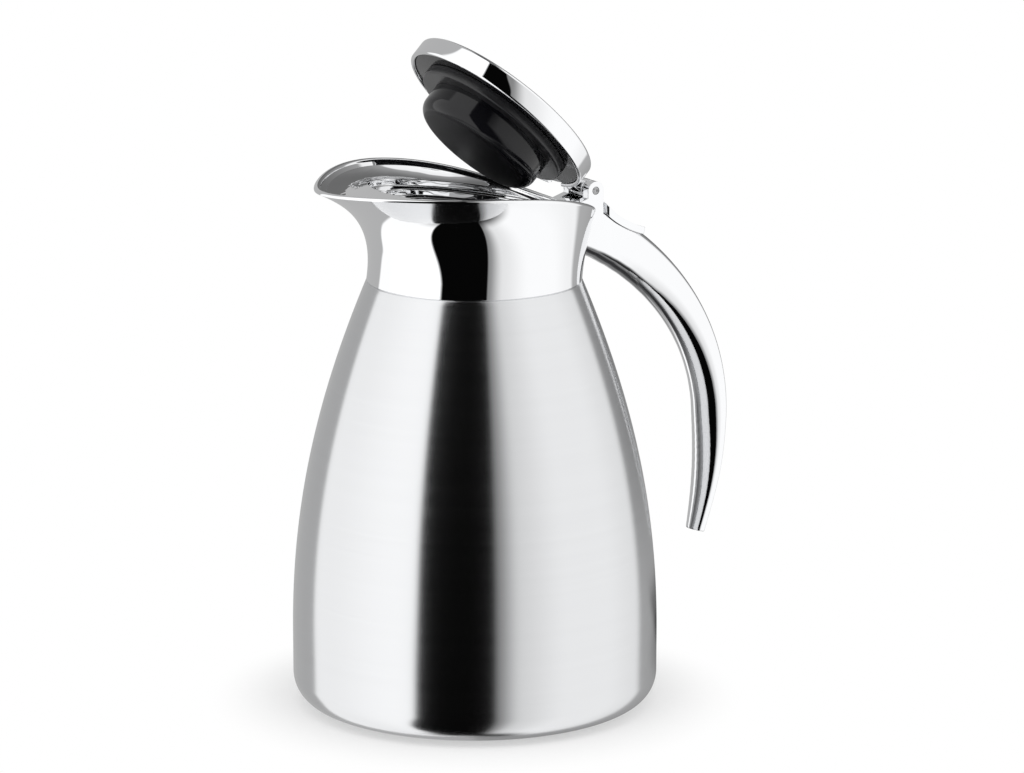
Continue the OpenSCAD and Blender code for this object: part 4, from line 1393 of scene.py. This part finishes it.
def studio_world(studio):
    """The studio as the metal sees it: two tall soft lights, a dark card between them behind
    the camera, a dim room behind the carafe, and plain white for the camera.

    The azimuth is counted from the light's direction, in degrees, and grows to the handle's side.
    """
    world = bpy.data.worlds.new("studio")
    world.use_nodes = True
    tree = world.node_tree
    nodes = Nodes(tree)
    direction = nodes.add("ShaderNodeTexCoord", output=0)
    split = nodes.add("ShaderNodeSeparateXYZ", Vector=direction)
    x, y, z = (Value(tree, s) for s in split.socket.node.outputs)
    cos, sin = math.cos(studio.light_azimuth), math.sin(studio.light_azimuth)
    azimuth = (y * cos - x * sin).math("ARCTAN2", x * cos + y * sin) * DEGREES
    elevation = z.math("ARCSINE") * DEGREES

    # The dark card leans over low down and high up, where the bell and the collar curve.
    low = ((-8 - elevation) / 57).math("MAXIMUM", 0.0)
    high = elevation.step(32, 54)
    lean = low * 8 + low * low * 17 - high * 8
    card = (azimuth + lean).step(-38, -34)
    card = card * (1 - (azimuth + high * 8).step(12, 14)) * (1 - elevation.step(66, 76))

    # The lights to the left and right of it.
    lit = (azimuth + (1 - elevation.step(-52, -25)) * 22 - high * 18).step(-124, -120)
    lit = lit * (1 - azimuth.step(123, 131))
    left = 1.18 + azimuth.step(-110, -50) * 0.14
    right = 0.28 + azimuth.step(13, 30) * 0.62 + azimuth.step(24, 62) * 0.25
    right = right - azimuth.step(90, 122) * 0.12
    to_right = azimuth.step(-12, 0)
    light = lit * (left * (1 - to_right) + right * to_right)

    # The room behind the carafe, the dim ceiling and the dark below.
    dim = 0.12 - (1 - elevation.step(-14, -4)) * 0.1
    room = 0.5 - azimuth.step(100, 124) * dim - azimuth.step(124, 172) * (0.1 + dim)
    room = (1 - lit) * room
    ceiling = elevation.step(68, 80)
    under = (1 - elevation.step(-82, -70)) * azimuth.band(-115, 140, 12)
    seen = (light + room) * (1 - ceiling) + ceiling * 0.07
    seen = seen * (1 - card) * (1 - under * 0.97) + card * 0.002

    camera_ray = nodes.add("ShaderNodeLightPath", output="Is Camera Ray")
    background = tree.nodes["Background"]
    connect(tree, seen * (1 - camera_ray) + camera_ray, background.inputs["Strength"])
    background.inputs["Color"].default_value = (1, 1, 1, 1)
    return world


class CARAFE_OT_stage(Operator):
    """Sets the floor, the studio light and the camera"""

    bl_idname = "carafe.stage"
    bl_label = "Stage"

    def execute(self, context):
        scene = context.scene
        studio, finish = scene.carafe_studio, scene.carafe_finish
        u = np.linspace(0, TURN, 96, endpoint=False)
        floor = raw_object("floor", level_ring(u, studio.floor_radius, 0.0), [tuple(range(len(u)))])
        painted(floor.data, floor_white(finish))
        scene.world = studio_world(studio)

        lamp = bpy.data.lights.new("overhead", "AREA")
        lamp.shape = "DISK"
        lamp.size = 1.2
        lamp.energy = 9
        light = linked("overhead", lamp)
        light.location = (-0.2, -0.3, 1.5)
        aim = Vector((0, 0, 0.1)) - light.location
        light.rotation_euler = aim.to_track_quat("-Z", "Y").to_euler()
        light.visible_glossy = False
        light.visible_camera = False

        lens = bpy.data.cameras.new("camera")
        lens.lens = studio.lens
        lens.sensor_width = 36
        lens.clip_start = 0.1
        lens.clip_end = 20
        camera = linked("camera", lens)
        camera.location = studio.camera_place
        camera.rotation_euler = (studio.camera_pitch, 0, studio.camera_yaw)
        scene.camera = camera
        scene.view_settings.view_transform = "Standard"
        return {"FINISHED"}


# ---- Add-on ------------------------------------------------------------------------------


OPERATORS = (
    CARAFE_OT_body,
    CARAFE_OT_base,
    CARAFE_OT_vessel,
    CARAFE_OT_collar,
    CARAFE_OT_funnel,
    CARAFE_OT_handle,
    CARAFE_OT_hinge,
    CARAFE_OT_lid,
    CARAFE_OT_stopper,
    CARAFE_OT_lever,
    CARAFE_OT_stage,
)


class CARAFE_PT_panel(Panel):
    """The carafe's steps and sizes"""

    bl_idname = "CARAFE_PT_panel"
    bl_label = "Carafe"
    bl_space_type = "VIEW_3D"
    bl_region_type = "UI"
    bl_category = "Carafe"

    def draw(self, context):
        column = self.layout.column(align=True)
        for operator in OPERATORS:
            column.operator(operator.bl_idname)
        for name, group in GROUPS.items():
            box = self.layout.box()
            box.label(text=group.__doc__)
            for prop in group.__annotations__:
                box.prop(getattr(context.scene, name), prop)


CLASSES = (*GROUPS.values(), *OPERATORS, CARAFE_PT_panel)


def register():
    for cls in CLASSES:
        bpy.utils.register_class(cls)
    for name, group in GROUPS.items():
        setattr(bpy.types.Scene, name, PointerProperty(type=group))


def unregister():
    for name in GROUPS:
        delattr(bpy.types.Scene, name)
    for cls in reversed(CLASSES):
        bpy.utils.unregister_class(cls)


def main():
    register()
    for operator in OPERATORS:
        group, name = operator.bl_idname.split(".")
        getattr(getattr(bpy.ops, group), name)()


if __name__ == "__main__":
    main()
